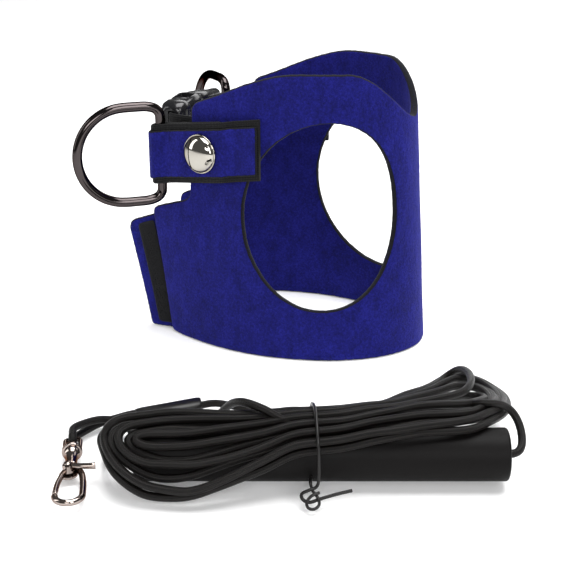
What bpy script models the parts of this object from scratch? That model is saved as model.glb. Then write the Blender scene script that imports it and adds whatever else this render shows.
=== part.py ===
"""Small-pet vest harness with two strap rings, and its round cord lead with a grip and a swivel hook.

Metres, +Z up.  The vest stands on its waist edge: chest towards +X, back opening towards -X, the near
side towards -Y.  The origin is on the waist edge, in the middle of the chest.
"""
import math

import bmesh
import bpy
from mathutils import Matrix, Vector

# ---------------------------------------------------------------- driving sizes
VEST_LENGTH = 0.090          # waist oval, chest to back
VEST_WIDTH = 0.062           # waist oval, side to side
VEST_HEIGHT = 0.0915         # waist edge to the highest point of the collar
CHEST_HEIGHT = 0.0765        # waist edge to the collar in the middle of the chest
CLOTH = 0.0024               # laminated suede cloth
NECK_TAPER = 0.12            # share of the width lost between waist and collar
CHEST_LEAN = 0.0056          # the chest leans back by this much between waist and collar
CLOSURE_HEIGHT = 0.0435      # height of the two back closing edges
CLOSURE_RISE = 0.0050        # the closing part is this much higher where it leaves the strap
LEG_HOLE_WIDTH = 0.0545      # along the cloth
LEG_HOLE_HEIGHT = 0.060
LEG_HOLE_CENTRE_Z = 0.0467
NEAR_HOLE_STATION = 60.0     # middle of each hole, see the stations below; the band sits a little askew
FAR_HOLE_STATION = 55.5
FLAP_LENGTH = 0.0105         # free length of a closing flap
FLAP_CLOTH = 0.0016
FLAP_WIDENS = 0.25           # more length at the top of the flap
FLAP_SLANT = 0.0045          # the flap's top edge falls by this much towards its free end
FLAP_TUCK = 0.8              # stations of the flap that lie under the panel's edge
FASTENER_WIDTH = 0.0055      # hook and loop strips
FASTENER_THICKNESS = 0.0012
FASTENER_INSET = 0.0016      # past the panel's edge, which slants across the flap
STRAP_WIDTH = 0.0195
STRAP_THICKNESS = 0.0012
STRAP_CENTRE_Z = 0.0655      # at the snap
STRAP_SLOPE = 0.14           # the strap falls towards the ring
FACING_THICKNESS = 0.0007
FACING_MARGIN = 0.0020       # black strap left showing round the suede facing
RING_WIRE = 0.0032
RING_DEPTH = 0.0290          # bar to the outside of the bow
RING_SPLAY = math.radians(42.0)   # rings swing out from the -X direction
SNAP_DIAMETER = 0.0125
SNAP_DOME = 0.0034
POST_DIAMETER = 0.0030
WEBBING_THICKNESS = 0.0014
BUCKLE_WIDTH = 0.0270
BUCKLE_THICKNESS = 0.0095
CORD_DIAMETER = 0.0022
GRIP_LENGTH = 0.0960
GRIP_DIAMETER = 0.0138
GRIP_WALL = 0.0016
HANK_THICKNESS = 0.0040
HOOK_WIDTH = 0.0086
HOOK_WIRE = 0.0017
YOKE_WIDTH = 0.0055
TIE_WIRE = 0.0010

# clearances
GAP = 0.0003                 # between pieces that touch
RUNNING = 0.00035            # radial, round a turning piece
LEAN_ROOM = 0.0006           # the wall leans across the strap's width

# stations round the vest: degrees on the oval from the chest, carried on past TAIL_START on a slack curve
TAIL_START = 110.0
TAIL_STEP = 0.00078          # length of one station past TAIL_START
HOLE_STEP = 0.0007           # length of one station round the leg hole
SEAT_STATION = 113.0         # snap caps
TAB_END_STATION = 88.5
CHEST_DIP_END = 49.0         # the collar has risen to its full height by here
NECK_END_STATION = 122.0     # the collar ends here, above the strap
CLOSURE_STATION = 124.0      # the closing part of the panel starts here, below the strap
PANEL_END_STATION = 137.4    # at the waist edge
PANEL_FLARE = 7.6            # more stations at the top of the closing edge
SIDES = {"near": -1.0, "far": 1.0}

HALF_LENGTH = VEST_LENGTH / 2.0
HALF_WIDTH = VEST_WIDTH / 2.0
STRAP_LOW = STRAP_CENTRE_Z - STRAP_WIDTH / 2.0
STRAP_HIGH = STRAP_CENTRE_Z + STRAP_WIDTH / 2.0


# ---------------------------------------------------------------- scene and materials
def clear_scene():
    for thing in list(bpy.data.objects):
        bpy.data.objects.remove(thing, do_unlink=True)


def material(name, colour, roughness, metallic=0.0):
    made = bpy.data.materials.new(name)
    made.use_nodes = True
    shader = made.node_tree.nodes["Principled BSDF"]
    shader.inputs["Base Color"].default_value = (*colour, 1.0)
    shader.inputs["Roughness"].default_value = roughness
    shader.inputs["Metallic"].default_value = metallic
    return made


def empty(name, location, turn=0.0, parent=None):
    made = bpy.data.objects.new(name, None)
    bpy.context.scene.collection.objects.link(made)
    made.parent = parent
    made.location = location
    made.rotation_euler = (0.0, 0.0, turn)
    return made


def solid(name, vertices, faces, look, parent, location=(0.0, 0.0, 0.0), smooth=True):
    """A closed mesh object; its vertices are given in the parent's space and kept about its location."""
    place = Vector(location)
    mesh = bpy.data.meshes.new(name)
    mesh.from_pydata([Vector(v) - place for v in vertices], [], faces)
    builder = bmesh.new()
    builder.from_mesh(mesh)
    bmesh.ops.remove_doubles(builder, verts=builder.verts, dist=1e-7)
    bmesh.ops.recalc_face_normals(builder, faces=builder.faces)
    builder.to_mesh(mesh)
    builder.free()
    mesh.validate()
    made = bpy.data.objects.new(name, mesh)
    bpy.context.scene.collection.objects.link(made)
    made.parent = parent
    made.location = place
    made.data.materials.append(look)
    if smooth:
        mesh.shade_smooth()
        mesh.set_sharp_from_angle(angle=math.radians(35.0))
    return made


def boolean(target, cutter, operation="DIFFERENCE"):
    """Cut or join with a helper that is itself left out of the model."""
    cutter.hide_render = True
    cutter.display_type = "WIRE"
    step = target.modifiers.new(operation.title(), "BOOLEAN")
    step.operation = operation
    step.object = cutter
    step.solver = "EXACT"


# ---------------------------------------------------------------- general shapes
def turned(name, profile, look, parent, origin, axis, steps=32, location=None):
    """A solid of revolution; profile is (radius, height) up the outside, on the axis at both ends."""
    turn = Vector((0.0, 0.0, 1.0)).rotation_difference(Vector(axis).normalized()).to_matrix()
    vertices = []
    faces = []
    for radius, height in profile:
        for step in range(steps):
            angle = 2.0 * math.pi * step / steps
            local = Vector((radius * math.cos(angle), radius * math.sin(angle), height))
            vertices.append(Vector(origin) + turn @ local)
    closed = profile[0][0] > 0.0 and profile[-1][0] > 0.0
    rings = len(profile)
    for ring in range(rings if closed else rings - 1):
        below = ring * steps
        above = ((ring + 1) % rings) * steps
        for step in range(steps):
            after = (step + 1) % steps
            faces.append((below + step, below + after, above + after, above + step))
    return solid(name, vertices, faces, look, parent, origin if location is None else location)


def extruded(name, outline, low, high, look, parent, location=(0.0, 0.0, 0.0), place=None, smooth=True):
    """An outline in x and y pushed up from low to high; place maps each point into the parent's space."""
    count = len(outline)
    vertices = [(x, y, low) for x, y in outline] + [(x, y, high) for x, y in outline]
    if place is not None:
        vertices = [place @ Vector(v) for v in vertices]
    faces = [tuple(reversed(range(count))), tuple(range(count, 2 * count))]
    for index in range(count):
        after = (index + 1) % count
        faces.append((index, after, count + after, count + index))
    return solid(name, vertices, faces, look, parent, location, smooth)


def ribbon_outline(path, thickness):
    """Plan outline of a flat strap that follows a plan path."""
    left = []
    right = []
    for index, point in enumerate(path):
        before = Vector(path[max(index - 1, 0)])
        after = Vector(path[min(index + 1, len(path) - 1)])
        along = (after - before).normalized()
        across = Vector((-along.y, along.x)) * thickness / 2.0
        left.append(Vector(point) + across)
        right.append(Vector(point) - across)
    return left + right[::-1]


def arc(centre, radius, start, end, steps):
    """Points on a circle in the plane, from start to end in degrees."""
    points = []
    for step in range(steps + 1):
        angle = math.radians(start + (end - start) * step / steps)
        points.append((centre[0] + radius * math.cos(angle), centre[1] + radius * math.sin(angle)))
    return points


def tube(name, points, radius, look, parent, location=(0.0, 0.0, 0.0), cyclic=False, sides=2):
    """A round bar or cord along points; sides is the curve's bevel resolution."""
    curve = bpy.data.curves.new(name, "CURVE")
    curve.dimensions = "3D"
    curve.bevel_depth = radius
    curve.bevel_resolution = sides
    curve.use_fill_caps = True
    spline = curve.splines.new("POLY")
    spline.points.add(len(points) - 1)
    for knot, point in zip(spline.points, points):
        knot.co = (*(Vector(point) - Vector(location)), 1.0)
    spline.use_cyclic_u = cyclic
    spline.use_smooth = True
    made = bpy.data.objects.new(name, curve)
    bpy.context.scene.collection.objects.link(made)
    made.parent = parent
    made.location = location
    made.data.materials.append(look)
    return made


def smooth_route(knots, spacing):
    """Evenly spaced points on a smooth curve through the knots."""
    knots = [Vector(knot) for knot in knots]
    dense = []
    for index in range(len(knots) - 1):
        start = knots[index]
        end = knots[index + 1]
        before = knots[index - 1] if index > 0 else start * 2.0 - end
        after = knots[index + 2] if index + 2 < len(knots) else end * 2.0 - start
        for step in range(24):
            t = step / 24.0
            first = (end - before) * 0.5
            last = (after - start) * 0.5
            rise = start - end
            dense.append(start + first * t - (rise * 3.0 + first * 2.0 + last) * t ** 2
                         + (rise * 2.0 + first + last) * t ** 3)
    dense.append(knots[-1])
    length = sum((b - a).length for a, b in zip(dense, dense[1:]))
    count = max(2, round(length / spacing))
    points = [dense[0]]
    travelled = 0.0
    wanted = length / count
    for a, b in zip(dense, dense[1:]):
        step = (b - a).length
        while step > 0.0 and travelled + step >= wanted - 1e-9 and len(points) < count:
            points.append(a.lerp(b, (wanted - travelled) / step))
            wanted += length / count
        travelled += step
    points.append(dense[-1])
    return points


# ---------------------------------------------------------------- the vest's wall
def half_width(z):
    return HALF_WIDTH * (1.0 - NECK_TAPER * z / VEST_HEIGHT)


def slackness(z):
    """How fast the wall turns in behind TAIL_START; straight above the closing edge."""
    return max(0.0, 1.0 - z / CLOSURE_HEIGHT) / 0.085


def wall(side, station, z, out):
    """A point out from the middle of the cloth, square to the wall in plan."""
    angle = math.radians(min(station, TAIL_START))
    width = half_width(z)
    length = HALF_LENGTH - CHEST_LEAN * z / VEST_HEIGHT if station < 90.0 else HALF_LENGTH
    place = Vector((length * math.cos(angle), width * math.sin(angle)))
    along = Vector((-length * math.sin(angle), width * math.cos(angle))).normalized()
    tail = max(0.0, station - TAIL_START) * TAIL_STEP
    if tail > 0.0:
        heading = math.atan2(along.y, along.x)
        turn = slackness(z)
        middle = heading + turn * tail / 2.0
        chord = tail if turn < 1e-9 else 2.0 * math.sin(turn * tail / 2.0) / turn
        place += Vector((math.cos(middle), math.sin(middle))) * chord
        along = Vector((math.cos(heading + turn * tail), math.sin(heading + turn * tail)))
    outward = Vector((along.y, -along.x))
    place += outward * out
    return Vector((place.x, side * place.y, z))


def blend(edge_low, edge_high, value):
    t = min(1.0, max(0.0, (value - edge_low) / (edge_high - edge_low)))
    return t * t * (3.0 - 2.0 * t)


def collar(station):
    """Height of the vest's top edge at a station, from the chest to the closing edge."""
    rise = VEST_HEIGHT - CHEST_HEIGHT
    chest = CHEST_HEIGHT + rise * blend(0.0, CHEST_DIP_END, station)
    fall = rise * 0.86 * blend(70.0, NECK_END_STATION + 12.0, station) ** 1.2
    drop = blend(NECK_END_STATION, CLOSURE_STATION, station)
    slant = 1.0 - max(0.0, station - CLOSURE_STATION) / (PANEL_END_STATION - CLOSURE_STATION)
    return (chest - fall) * (1.0 - drop) + (CLOSURE_HEIGHT + CLOSURE_RISE * slant) * drop


def flared(station, z):
    """Push the closing edge back towards its top."""
    share = max(0.0, station - CLOSURE_STATION) / (PANEL_END_STATION - CLOSURE_STATION)
    return station + PANEL_FLARE * share * min(1.0, z / CLOSURE_HEIGHT)


def sheet_solid(name, rows, look, parent, location=(0.0, 0.0, 0.0)):
    """Close a cloth from a grid of (inner, outer) point pairs."""
    height = len(rows)
    width = len(rows[0])
    inner = [pair[0] for row in rows for pair in row]
    outer = [pair[1] for row in rows for pair in row]
    half = len(inner)
    faces = []
    for r in range(height - 1):
        for c in range(width - 1):
            a = r * width + c
            b = a + 1
            e = a + width
            d = e + 1
            faces.append((a, e, d, b))
            faces.append((half + a, half + b, half + d, half + e))
    for r in range(height - 1):
        a = r * width
        b = a + width
        faces.append((a, half + a, half + b, b))
        a += width - 1
        b += width - 1
        faces.append((a, b, half + b, half + a))
    for c in range(width - 1):
        a = c
        faces.append((a, a + 1, half + a + 1, half + a))
        a = (height - 1) * width + c
        faces.append((a, half + a, half + a + 1, a + 1))
    return solid(name, inner + outer, faces, look, parent, location)


def vest_stations():
    """Signed stations from the far closing edge round the chest to the near one."""
    half = [4.0 * step for step in range(31)]
    half += [NECK_END_STATION + share * (CLOSURE_STATION - NECK_END_STATION) / 5.0 for share in range(6)]
    half += [CLOSURE_STATION + share * (PANEL_END_STATION - CLOSURE_STATION) / 4.0 for share in range(1, 5)]
    half = sorted(set(half))
    return [-station for station in reversed(half[1:])] + half


def leg_hole_station(side):
    return NEAR_HOLE_STATION if side < 0.0 else FAR_HOLE_STATION


def leg_hole_outline(side, count=48):
    """Stations and heights round a leg hole; it leans a little and narrows downwards."""
    points = []
    for step in range(count):
        angle = 2.0 * math.pi * step / count
        down = 0.5 - 0.5 * math.sin(angle)
        reach = LEG_HOLE_WIDTH / 2.0 * (1.0 - 0.10 * down)
        rise = LEG_HOLE_HEIGHT / 2.0 * math.sin(angle)
        lean = -0.0016 * math.sin(angle)
        points.append((leg_hole_station(side) + (reach * math.cos(angle) + lean) / HOLE_STEP, LEG_HOLE_CENTRE_Z + rise))
    return points


def leg_hole_cutter(name, side, parent):
    """A plug through the wall with the leg hole's outline."""
    ring = leg_hole_outline(side)
    centre = leg_hole_station(side)
    count = len(ring)
    depth = 0.011
    vertices = [wall(side, station, z, -depth) for station, z in ring]
    vertices += [wall(side, station, z, depth) for station, z in ring]
    middle = sum(z for _, z in ring) / count
    vertices.append(wall(side, centre, middle, -depth))
    vertices.append(wall(side, centre, middle, depth * 1.3))
    faces = []
    for index in range(count):
        after = (index + 1) % count
        faces.append((index, after, count + after, count + index))
        faces.append((2 * count, after, index))
        faces.append((2 * count + 1, count + index, count + after))
    return solid(name, vertices, faces, bpy.data.materials["cutter"], parent)


def post_axis(side):
    """Where the snap's post crosses the wall, and the direction out of the vest."""
    inside = wall(side, SEAT_STATION, STRAP_CENTRE_Z, 0.0)
    outside = wall(side, SEAT_STATION, STRAP_CENTRE_Z, 0.001)
    return inside, (outside - inside).normalized()


def post_cutter(name, side, parent):
    centre, out = post_axis(side)
    radius = POST_DIAMETER / 2.0 + GAP
    profile = [(0.0, -0.008), (radius, -0.008), (radius, 0.012), (0.0, 0.012)]
    return turned(name, profile, bpy.data.materials["cutter"], parent, centre, out, steps=20)


def build_vest(look, parent):
    half_cloth = CLOTH / 2.0
    levels = 17
    rows = []
    for level in range(levels):
        share = level / (levels - 1)
        row = []
        for signed in vest_stations():
            side = -1.0 if signed >= 0.0 else 1.0
            station = abs(signed)
            z = collar(station) * share
            along = flared(station, z)
            row.append((wall(side, along, z, -half_cloth), wall(side, along, z, half_cloth)))
        rows.append(row)
    vest = sheet_solid("vest_shell", rows, look, parent)
    for word, side in SIDES.items():
        boolean(vest, leg_hole_cutter(word + "_leg_hole_cutter", side, parent))
        boolean(vest, post_cutter(word + "_wall_post_cutter", side, parent))
    return vest


# ---------------------------------------------------------------- closing flaps
FLAP_OUT = -CLOTH / 2.0 - LEAN_ROOM - FLAP_CLOTH / 2.0


def flap_hinge(side):
    """Foot of the line where the closing flap bends, just inside the panel's closing edge."""
    return wall(side, PANEL_END_STATION - FLAP_TUCK, 0.0, FLAP_OUT)


def flap_point(side, along, z, out):
    """A point on the flap: it leaves the panel's edge and runs nearly straight back."""
    foot = wall(side, flared(PANEL_END_STATION, z) - FLAP_TUCK, z, FLAP_OUT)
    heading = Vector((-1.0, side * 0.03, 0.0)).normalized()
    outward = Vector((0.03, side, 0.0)).normalized()
    reach = along * (1.0 + FLAP_WIDENS * min(1.0, z / CLOSURE_HEIGHT))
    return foot + heading * reach + outward * out


def flap_top(along):
    """Height of the flap's slanted top edge."""
    return CLOSURE_HEIGHT - 0.0025 - FLAP_SLANT * along / (FLAP_LENGTH + FLAP_TUCK * TAIL_STEP)


def build_flap(word, side, look, parent):
    """The closing flap beyond the panel's edge, with a rounded top corner."""
    length = FLAP_LENGTH + FLAP_TUCK * TAIL_STEP
    corner = 0.004
    columns = [length * step / 10.0 for step in range(11)]
    rows = []
    for level in range(9):
        row = []
        for along in columns:
            near_end = max(0.0, along - (length - corner))
            rounding = corner - math.sqrt(max(0.0, corner ** 2 - near_end ** 2))
            z = (flap_top(along) - rounding) * level / 8.0 + 0.0002 * (1.0 - level / 8.0)
            row.append((flap_point(side, along, z, -FLAP_CLOTH / 2.0), flap_point(side, along, z, FLAP_CLOTH / 2.0)))
        rows.append(row)
    return sheet_solid(word + "_closing_flap", rows, look, parent, flap_hinge(side))


def build_fastener(word, side, name, outward, look, parent):
    """A hook or loop strip sewn to one face of the flap."""
    start = FLAP_TUCK * TAIL_STEP + FASTENER_INSET
    low = 0.002
    base = outward * (FLAP_CLOTH / 2.0 + GAP)
    face = base + outward * FASTENER_THICKNESS
    rows = []
    for level in range(7):
        row = []
        for step in range(4):
            along = start + FASTENER_WIDTH * step / 3.0
            z = low + (flap_top(along) - 0.0018 - low) * level / 6.0
            row.append((flap_point(side, along, z, min(base, face)), flap_point(side, along, z, max(base, face))))
        rows.append(row)
    return sheet_solid(name, rows, look, parent, flap_hinge(side))


# ---------------------------------------------------------------- ring tabs
RETURN_OUT = CLOTH / 2.0 + LEAN_ROOM + STRAP_THICKNESS / 2.0
COVER_OUT = RETURN_OUT + STRAP_THICKNESS + GAP
BAR_STATION = 136.3
WEBBING_STATION = 122.0      # the buckle webbing leaves the wall's inside from here


def tab_point(side, station, out):
    """A plan point on the strap, which keeps one line over its whole width."""
    return wall(side, station, STRAP_CENTRE_Z, out).xy


def ring_axis(side):
    """Plan place of the ring's straight bar, inside the strap's fold."""
    return tab_point(side, BAR_STATION, (RETURN_OUT + COVER_OUT) / 2.0)


def tab_path(side, extra):
    """Plan path of the strap: over the wall to the ring's bar, round it and back to the snap."""
    path = []
    for step in range(13):
        station = TAB_END_STATION + (SEAT_STATION - 8.0 - TAB_END_STATION) * step / 12.0
        share = blend(0.55, 1.0, step / 12.0)
        path.append(tab_point(side, station, RETURN_OUT + (COVER_OUT - RETURN_OUT) * share + extra))
    for step in range(1, 9):
        station = SEAT_STATION - 8.0 + (BAR_STATION - 5.0 - SEAT_STATION + 8.0) * step / 8.0
        path.append(tab_point(side, station, COVER_OUT + extra))
    centre = ring_axis(side)
    away = (tab_point(side, BAR_STATION, 0.01) - tab_point(side, BAR_STATION, 0.0)).normalized()
    back = (tab_point(side, BAR_STATION + 1.0, 0.0) - tab_point(side, BAR_STATION, 0.0)).normalized()
    radius = RING_WIRE / 2.0 + RUNNING + STRAP_THICKNESS / 2.0 + extra
    for step in range(11):
        angle = math.pi * step / 10.0
        path.append(centre + away * radius * math.cos(angle) + back * radius * math.sin(angle))
    return path


def sloped(made):
    """Let the strap fall towards the ring, its edges kept straight."""
    snap = tab_point(SIDES["near"], SEAT_STATION, 0.0)
    for vertex in made.data.vertices:
        vertex.co.z += STRAP_SLOPE * (vertex.co.x + made.location.x - snap.x)
    return made


def build_tab(word, side, look, parent):
    path = tab_path(side, 0.0)
    for step in range(9):
        station = BAR_STATION - 5.0 - (BAR_STATION - 5.0 - SEAT_STATION + 7.0) * step / 8.0
        path.append(tab_point(side, station, RETURN_OUT))
    outline = ribbon_outline(path, STRAP_THICKNESS)
    tab = sloped(extruded(word + "_tab_strap", outline, STRAP_LOW, STRAP_HIGH, look, parent))
    boolean(tab, post_cutter(word + "_tab_post_cutter", side, parent))
    return tab


def build_facing(word, side, look, parent):
    """Suede facing on the outside of the strap, set in from its edges."""
    extra = STRAP_THICKNESS / 2.0 + GAP + FACING_THICKNESS / 2.0
    path = tab_path(side, extra)[1:]
    path = path[:-5]
    outline = ribbon_outline(path, FACING_THICKNESS)
    facing = sloped(extruded(word + "_tab_facing", outline, STRAP_LOW + FACING_MARGIN,
                             STRAP_HIGH - FACING_MARGIN, look, parent))
    boolean(facing, post_cutter(word + "_facing_post_cutter", side, parent))
    return facing


def build_ring(word, side, look, parent):
    """D ring of round wire: an upright bar in the strap's fold and a bow behind it."""
    axis = ring_axis(side)
    middle = STRAP_CENTRE_Z + STRAP_SLOPE * (axis.x - tab_point(side, SEAT_STATION, 0.0).x)
    heading = Vector((-math.cos(RING_SPLAY), side * math.sin(RING_SPLAY)))
    bar_half = STRAP_WIDTH / 2.0 + RING_WIRE / 2.0 + 0.0016
    reach = RING_DEPTH - RING_WIRE / 2.0
    outline = []
    for step in range(5):
        outline.append((0.0, -bar_half + 2.0 * bar_half * step / 4.0))
    corner = 0.0032
    outline += [(corner * 0.45, bar_half + corner * 0.55), (corner * 1.4, bar_half + corner * 0.8)]
    bow_radius = bar_half + corner * 0.8
    flat = reach - bow_radius
    outline.append((flat * 0.6, bow_radius))
    outline += [(flat + x, y) for x, y in arc((0.0, 0.0), bow_radius, 90.0, -90.0, 18)]
    outline.append((flat * 0.6, -bow_radius))
    outline += [(corner * 1.4, -bar_half - corner * 0.8), (corner * 0.45, -bar_half - corner * 0.55)]
    points = [Vector((axis.x + heading.x * along, axis.y + heading.y * along, middle + up))
              for along, up in outline]
    place = Vector((axis.x, axis.y, middle))
    return tube(word + "_d_ring", points, RING_WIRE / 2.0, look, parent, place, cyclic=True, sides=3)


# ---------------------------------------------------------------- snaps
def build_snap(word, side, looks, parent):
    """Domed cap outside the strap, and the flanged post that passes through to it from inside."""
    centre, out = post_axis(side)
    seat = COVER_OUT + STRAP_THICKNESS / 2.0 + GAP + FACING_THICKNESS + GAP
    radius = SNAP_DIAMETER / 2.0
    dome = [(0.0, seat + SNAP_DOME)]
    for step in range(1, 8):
        angle = math.pi / 2.0 * (1.0 - step / 8.0)
        dome.append((radius * 0.94 * math.cos(angle), seat + 0.0008 + (SNAP_DOME - 0.0008) * math.sin(angle)))
    socket = POST_DIAMETER / 2.0 + GAP
    profile = [(0.0, seat + 0.0014), (socket, seat + 0.0014), (socket, seat), (radius, seat),
               (radius, seat + 0.0006), (radius * 0.96, seat + 0.0009)] + dome[::-1]
    turned(word + "_snap_cap", profile, looks["chrome"], parent, centre, out, steps=36)
    inside = -CLOTH / 2.0 - GAP
    flange = radius * 0.8
    post = [(0.0, inside - 0.0009), (flange - 0.0003, inside - 0.0009), (flange, inside - 0.0006),
            (flange, inside), (POST_DIAMETER / 2.0, inside), (POST_DIAMETER / 2.0, seat + 0.0011),
            (0.0, seat + 0.0011)]
    turned(word + "_snap_post", post, looks["steel"], parent, centre, out, steps=24)


# ---------------------------------------------------------------- buckle between the tabs
BUCKLE_X = -0.0360
JOIN_Y = -0.002              # where the plug's shoulders meet the socket
SOCKET_START = -0.0180
PLUG_END = 0.0158


def webbing_anchor(side):
    """Plan points of the buckle webbing where it lies inside the vest's wall."""
    out = -CLOTH / 2.0 - LEAN_ROOM - WEBBING_THICKNESS / 2.0
    return [tab_point(side, WEBBING_STATION + step, out) for step in (0.0, 3.0, 6.0)]


def build_webbing(word, side, y_end, look, parent):
    """Webbing from inside the panel, round the back, to the buckle's bar."""
    knots = webbing_anchor(side)
    knots.append(Vector((BUCKLE_X + 0.0030, side * 0.0201)))
    knots.append(Vector((BUCKLE_X + 0.0007, side * 0.0191)))
    knots.append(Vector((BUCKLE_X, side * 0.0172)))
    knots.append(Vector((BUCKLE_X, y_end)))
    route = smooth_route([(k.x, k.y, 0.0) for k in knots], 0.0013)
    outline = ribbon_outline([point.xy for point in route], WEBBING_THICKNESS)
    return extruded(word + "_webbing", outline, STRAP_LOW + 0.0003, STRAP_HIGH - 0.0003, look, parent)


def rounded(width, height, corner, steps=4):
    """Rounded rectangle centred on the origin."""
    points = []
    for cx, cy, start in ((1, 1, 0), (-1, 1, 90), (-1, -1, 180), (1, -1, 270)):
        centre = (cx * (width / 2.0 - corner), cy * (height / 2.0 - corner))
        points += arc(centre, corner, start, start + 90.0, steps)
    return points


def lofted(name, sections, look, parent, location=(0.0, 0.0, 0.0)):
    """A solid through closed sections with equal counts of points, capped at both ends."""
    count = len(sections[0])
    vertices = [point for section in sections for point in section]
    faces = [tuple(range(count)), tuple(range(len(vertices) - count, len(vertices)))]
    for index in range(len(sections) - 1):
        low = index * count
        high = low + count
        for step in range(count):
            after = (step + 1) % count
            faces.append((low + step, low + after, high + after, high + step))
    return solid(name, vertices, faces, look, parent, location)


def buckle_section(y, thickness, width, corner):
    return [(BUCKLE_X + x, y, STRAP_CENTRE_Z + z) for x, z in rounded(thickness, width, corner)]


def build_socket(look, parent):
    """The buckle's socket: a rounded hollow body with a strap slot, open towards the plug."""
    length = JOIN_Y - SOCKET_START
    outer = []
    for share, thick, wide in ((0.0, 0.62, 0.80), (0.05, 0.80, 0.86), (0.16, 0.96, 0.92), (0.30, 1.0, 0.94),
                               (0.42, 0.86, 0.90), (0.55, 1.0, 0.96), (0.80, 1.0, 1.0), (0.94, 0.96, 0.98),
                               (1.0, 0.84, 0.95)):
        outer.append(buckle_section(SOCKET_START + length * share, BUCKLE_THICKNESS * thick,
                                    BUCKLE_WIDTH * wide, 0.0026))
    socket = lofted("buckle_socket", outer, look, parent)
    pocket_thickness = BUCKLE_THICKNESS - 0.0034
    pocket_width = BUCKLE_WIDTH - 0.0044
    pocket_start = SOCKET_START + 0.0062
    pocket = lofted("pocket_cutter", [buckle_section(pocket_start, pocket_thickness, pocket_width, 0.0012),
                                      buckle_section(JOIN_Y + 0.001, pocket_thickness, pocket_width, 0.0012)],
                    bpy.data.materials["cutter"], parent)
    boolean(socket, pocket)
    window = lofted("window_cutter", [buckle_section(pocket_start + 0.0022, 0.0052, BUCKLE_WIDTH + 0.004, 0.0010),
                                      buckle_section(JOIN_Y - 0.0028, 0.0052, BUCKLE_WIDTH + 0.004, 0.0010)],
                    bpy.data.materials["cutter"], parent)
    boolean(socket, window)
    slot = lofted("socket_slot_cutter",
                  [buckle_section(SOCKET_START - 0.001, WEBBING_THICKNESS + 2.0 * GAP, STRAP_WIDTH, 0.0003),
                   buckle_section(SOCKET_START + 0.0046, WEBBING_THICKNESS + 2.0 * GAP, STRAP_WIDTH, 0.0003)],
                  bpy.data.materials["cutter"], parent)
    boolean(socket, slot)
    return socket


def build_plug(look, parent):
    """The buckle's plug: a shoulder plate with two springy prongs and a middle guide."""
    start = JOIN_Y + GAP
    length = PLUG_END - start
    outer = []
    for share, thick, wide in ((0.0, 0.70, 0.94), (0.10, 0.80, 0.96), (0.35, 0.72, 0.94), (0.62, 0.60, 0.90),
                               (0.72, 0.50, 0.88), (1.0, 0.46, 0.86)):
        outer.append(buckle_section(start + length * share, BUCKLE_THICKNESS * thick, BUCKLE_WIDTH * wide, 0.0018))
    plug = lofted("buckle_plug", outer, look, parent)
    slot = lofted("plug_slot_cutter",
                  [buckle_section(start + length * 0.70, WEBBING_THICKNESS + 2.0 * GAP, STRAP_WIDTH, 0.0003),
                   buckle_section(PLUG_END + 0.001, WEBBING_THICKNESS + 2.0 * GAP, STRAP_WIDTH, 0.0003)],
                  bpy.data.materials["cutter"], parent)
    boolean(plug, slot)
    reach = -0.0085
    for index, sign in enumerate((-1.0, 1.0)):
        outline = [(start + 0.001, sign * 0.0052), (start - 0.002, sign * 0.0056), (reach, sign * 0.0078),
                   (reach - 0.0018, sign * 0.0098), (reach + 0.0002, sign * 0.0128),
                   (reach + 0.0036, sign * 0.0104), (start - 0.001, sign * 0.0084),
                   (start + 0.001, sign * 0.0086)]
        place = Matrix(((0.0, 0.0, 1.0, BUCKLE_X), (1.0, 0.0, 0.0, 0.0), (0.0, 1.0, 0.0, STRAP_CENTRE_Z),
                        (0.0, 0.0, 0.0, 1.0)))
        prong = extruded("prong_helper_%d" % index, outline, -0.0021, 0.0021,
                         bpy.data.materials["cutter"], parent, place=place)
        boolean(plug, prong, "UNION")
    guide = lofted("guide_helper", [buckle_section(reach + 0.001, 0.0030, 0.0040, 0.0008),
                                    buckle_section(start + 0.001, 0.0030, 0.0040, 0.0008)],
                   bpy.data.materials["cutter"], parent)
    boolean(plug, guide, "UNION")
    return plug


# ---------------------------------------------------------------- the lead
# In the lead's own space +X runs along the grip and +Y points to the vest.
GRIP_FROM = -0.0412
GRIP_Y = -0.1140
GRIP_Z = TIE_WIRE + 0.0004 + GRIP_DIAMETER / 2.0
HOOK_PLACE = (-0.0605, -0.0962)
HOOK_TURN = math.radians(7.5)
HOOK_Z = 0.0034


def build_grip(looks, parent):
    """Soft outer grip on a plain tube, with a plug in each end; the cord comes out on the right."""
    radius = GRIP_DIAMETER / 2.0
    bore = radius - GRIP_WALL
    left = (GRIP_FROM, GRIP_Y, GRIP_Z)
    sleeve = [(bore, 0.0), (radius - 0.0009, 0.0), (radius, 0.0009), (radius, GRIP_LENGTH - 0.0009),
              (radius - 0.0009, GRIP_LENGTH), (bore, GRIP_LENGTH)]
    turned("grip_sleeve", sleeve, looks["rubber"], parent, left, (1.0, 0.0, 0.0), steps=40)
    core_outer = bore - GAP
    core_inner = core_outer - 0.0012
    depth = 0.0045
    core = [(core_inner, 0.0025), (core_outer, 0.0025), (core_outer, GRIP_LENGTH - 0.0025),
            (core_inner, GRIP_LENGTH - 0.0025)]
    turned("grip_core", core, looks["plastic"], parent, left, (1.0, 0.0, 0.0), steps=32)
    stem = core_inner - GAP
    for name, sign, end in (("grip_plug_left", 1.0, GRIP_FROM), ("grip_plug_right", -1.0, GRIP_FROM + GRIP_LENGTH)):
        hole = CORD_DIAMETER / 2.0 + GAP
        profile = [(hole, 0.0004), (core_outer, 0.0004), (core_outer, 0.0025 - GAP), (stem, 0.0025 - GAP),
                   (stem, depth + 0.0025), (hole, depth + 0.0025)]
        turned(name, profile, looks["plastic"], parent, (end, GRIP_Y, GRIP_Z), (sign, 0.0, 0.0), steps=32)


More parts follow.
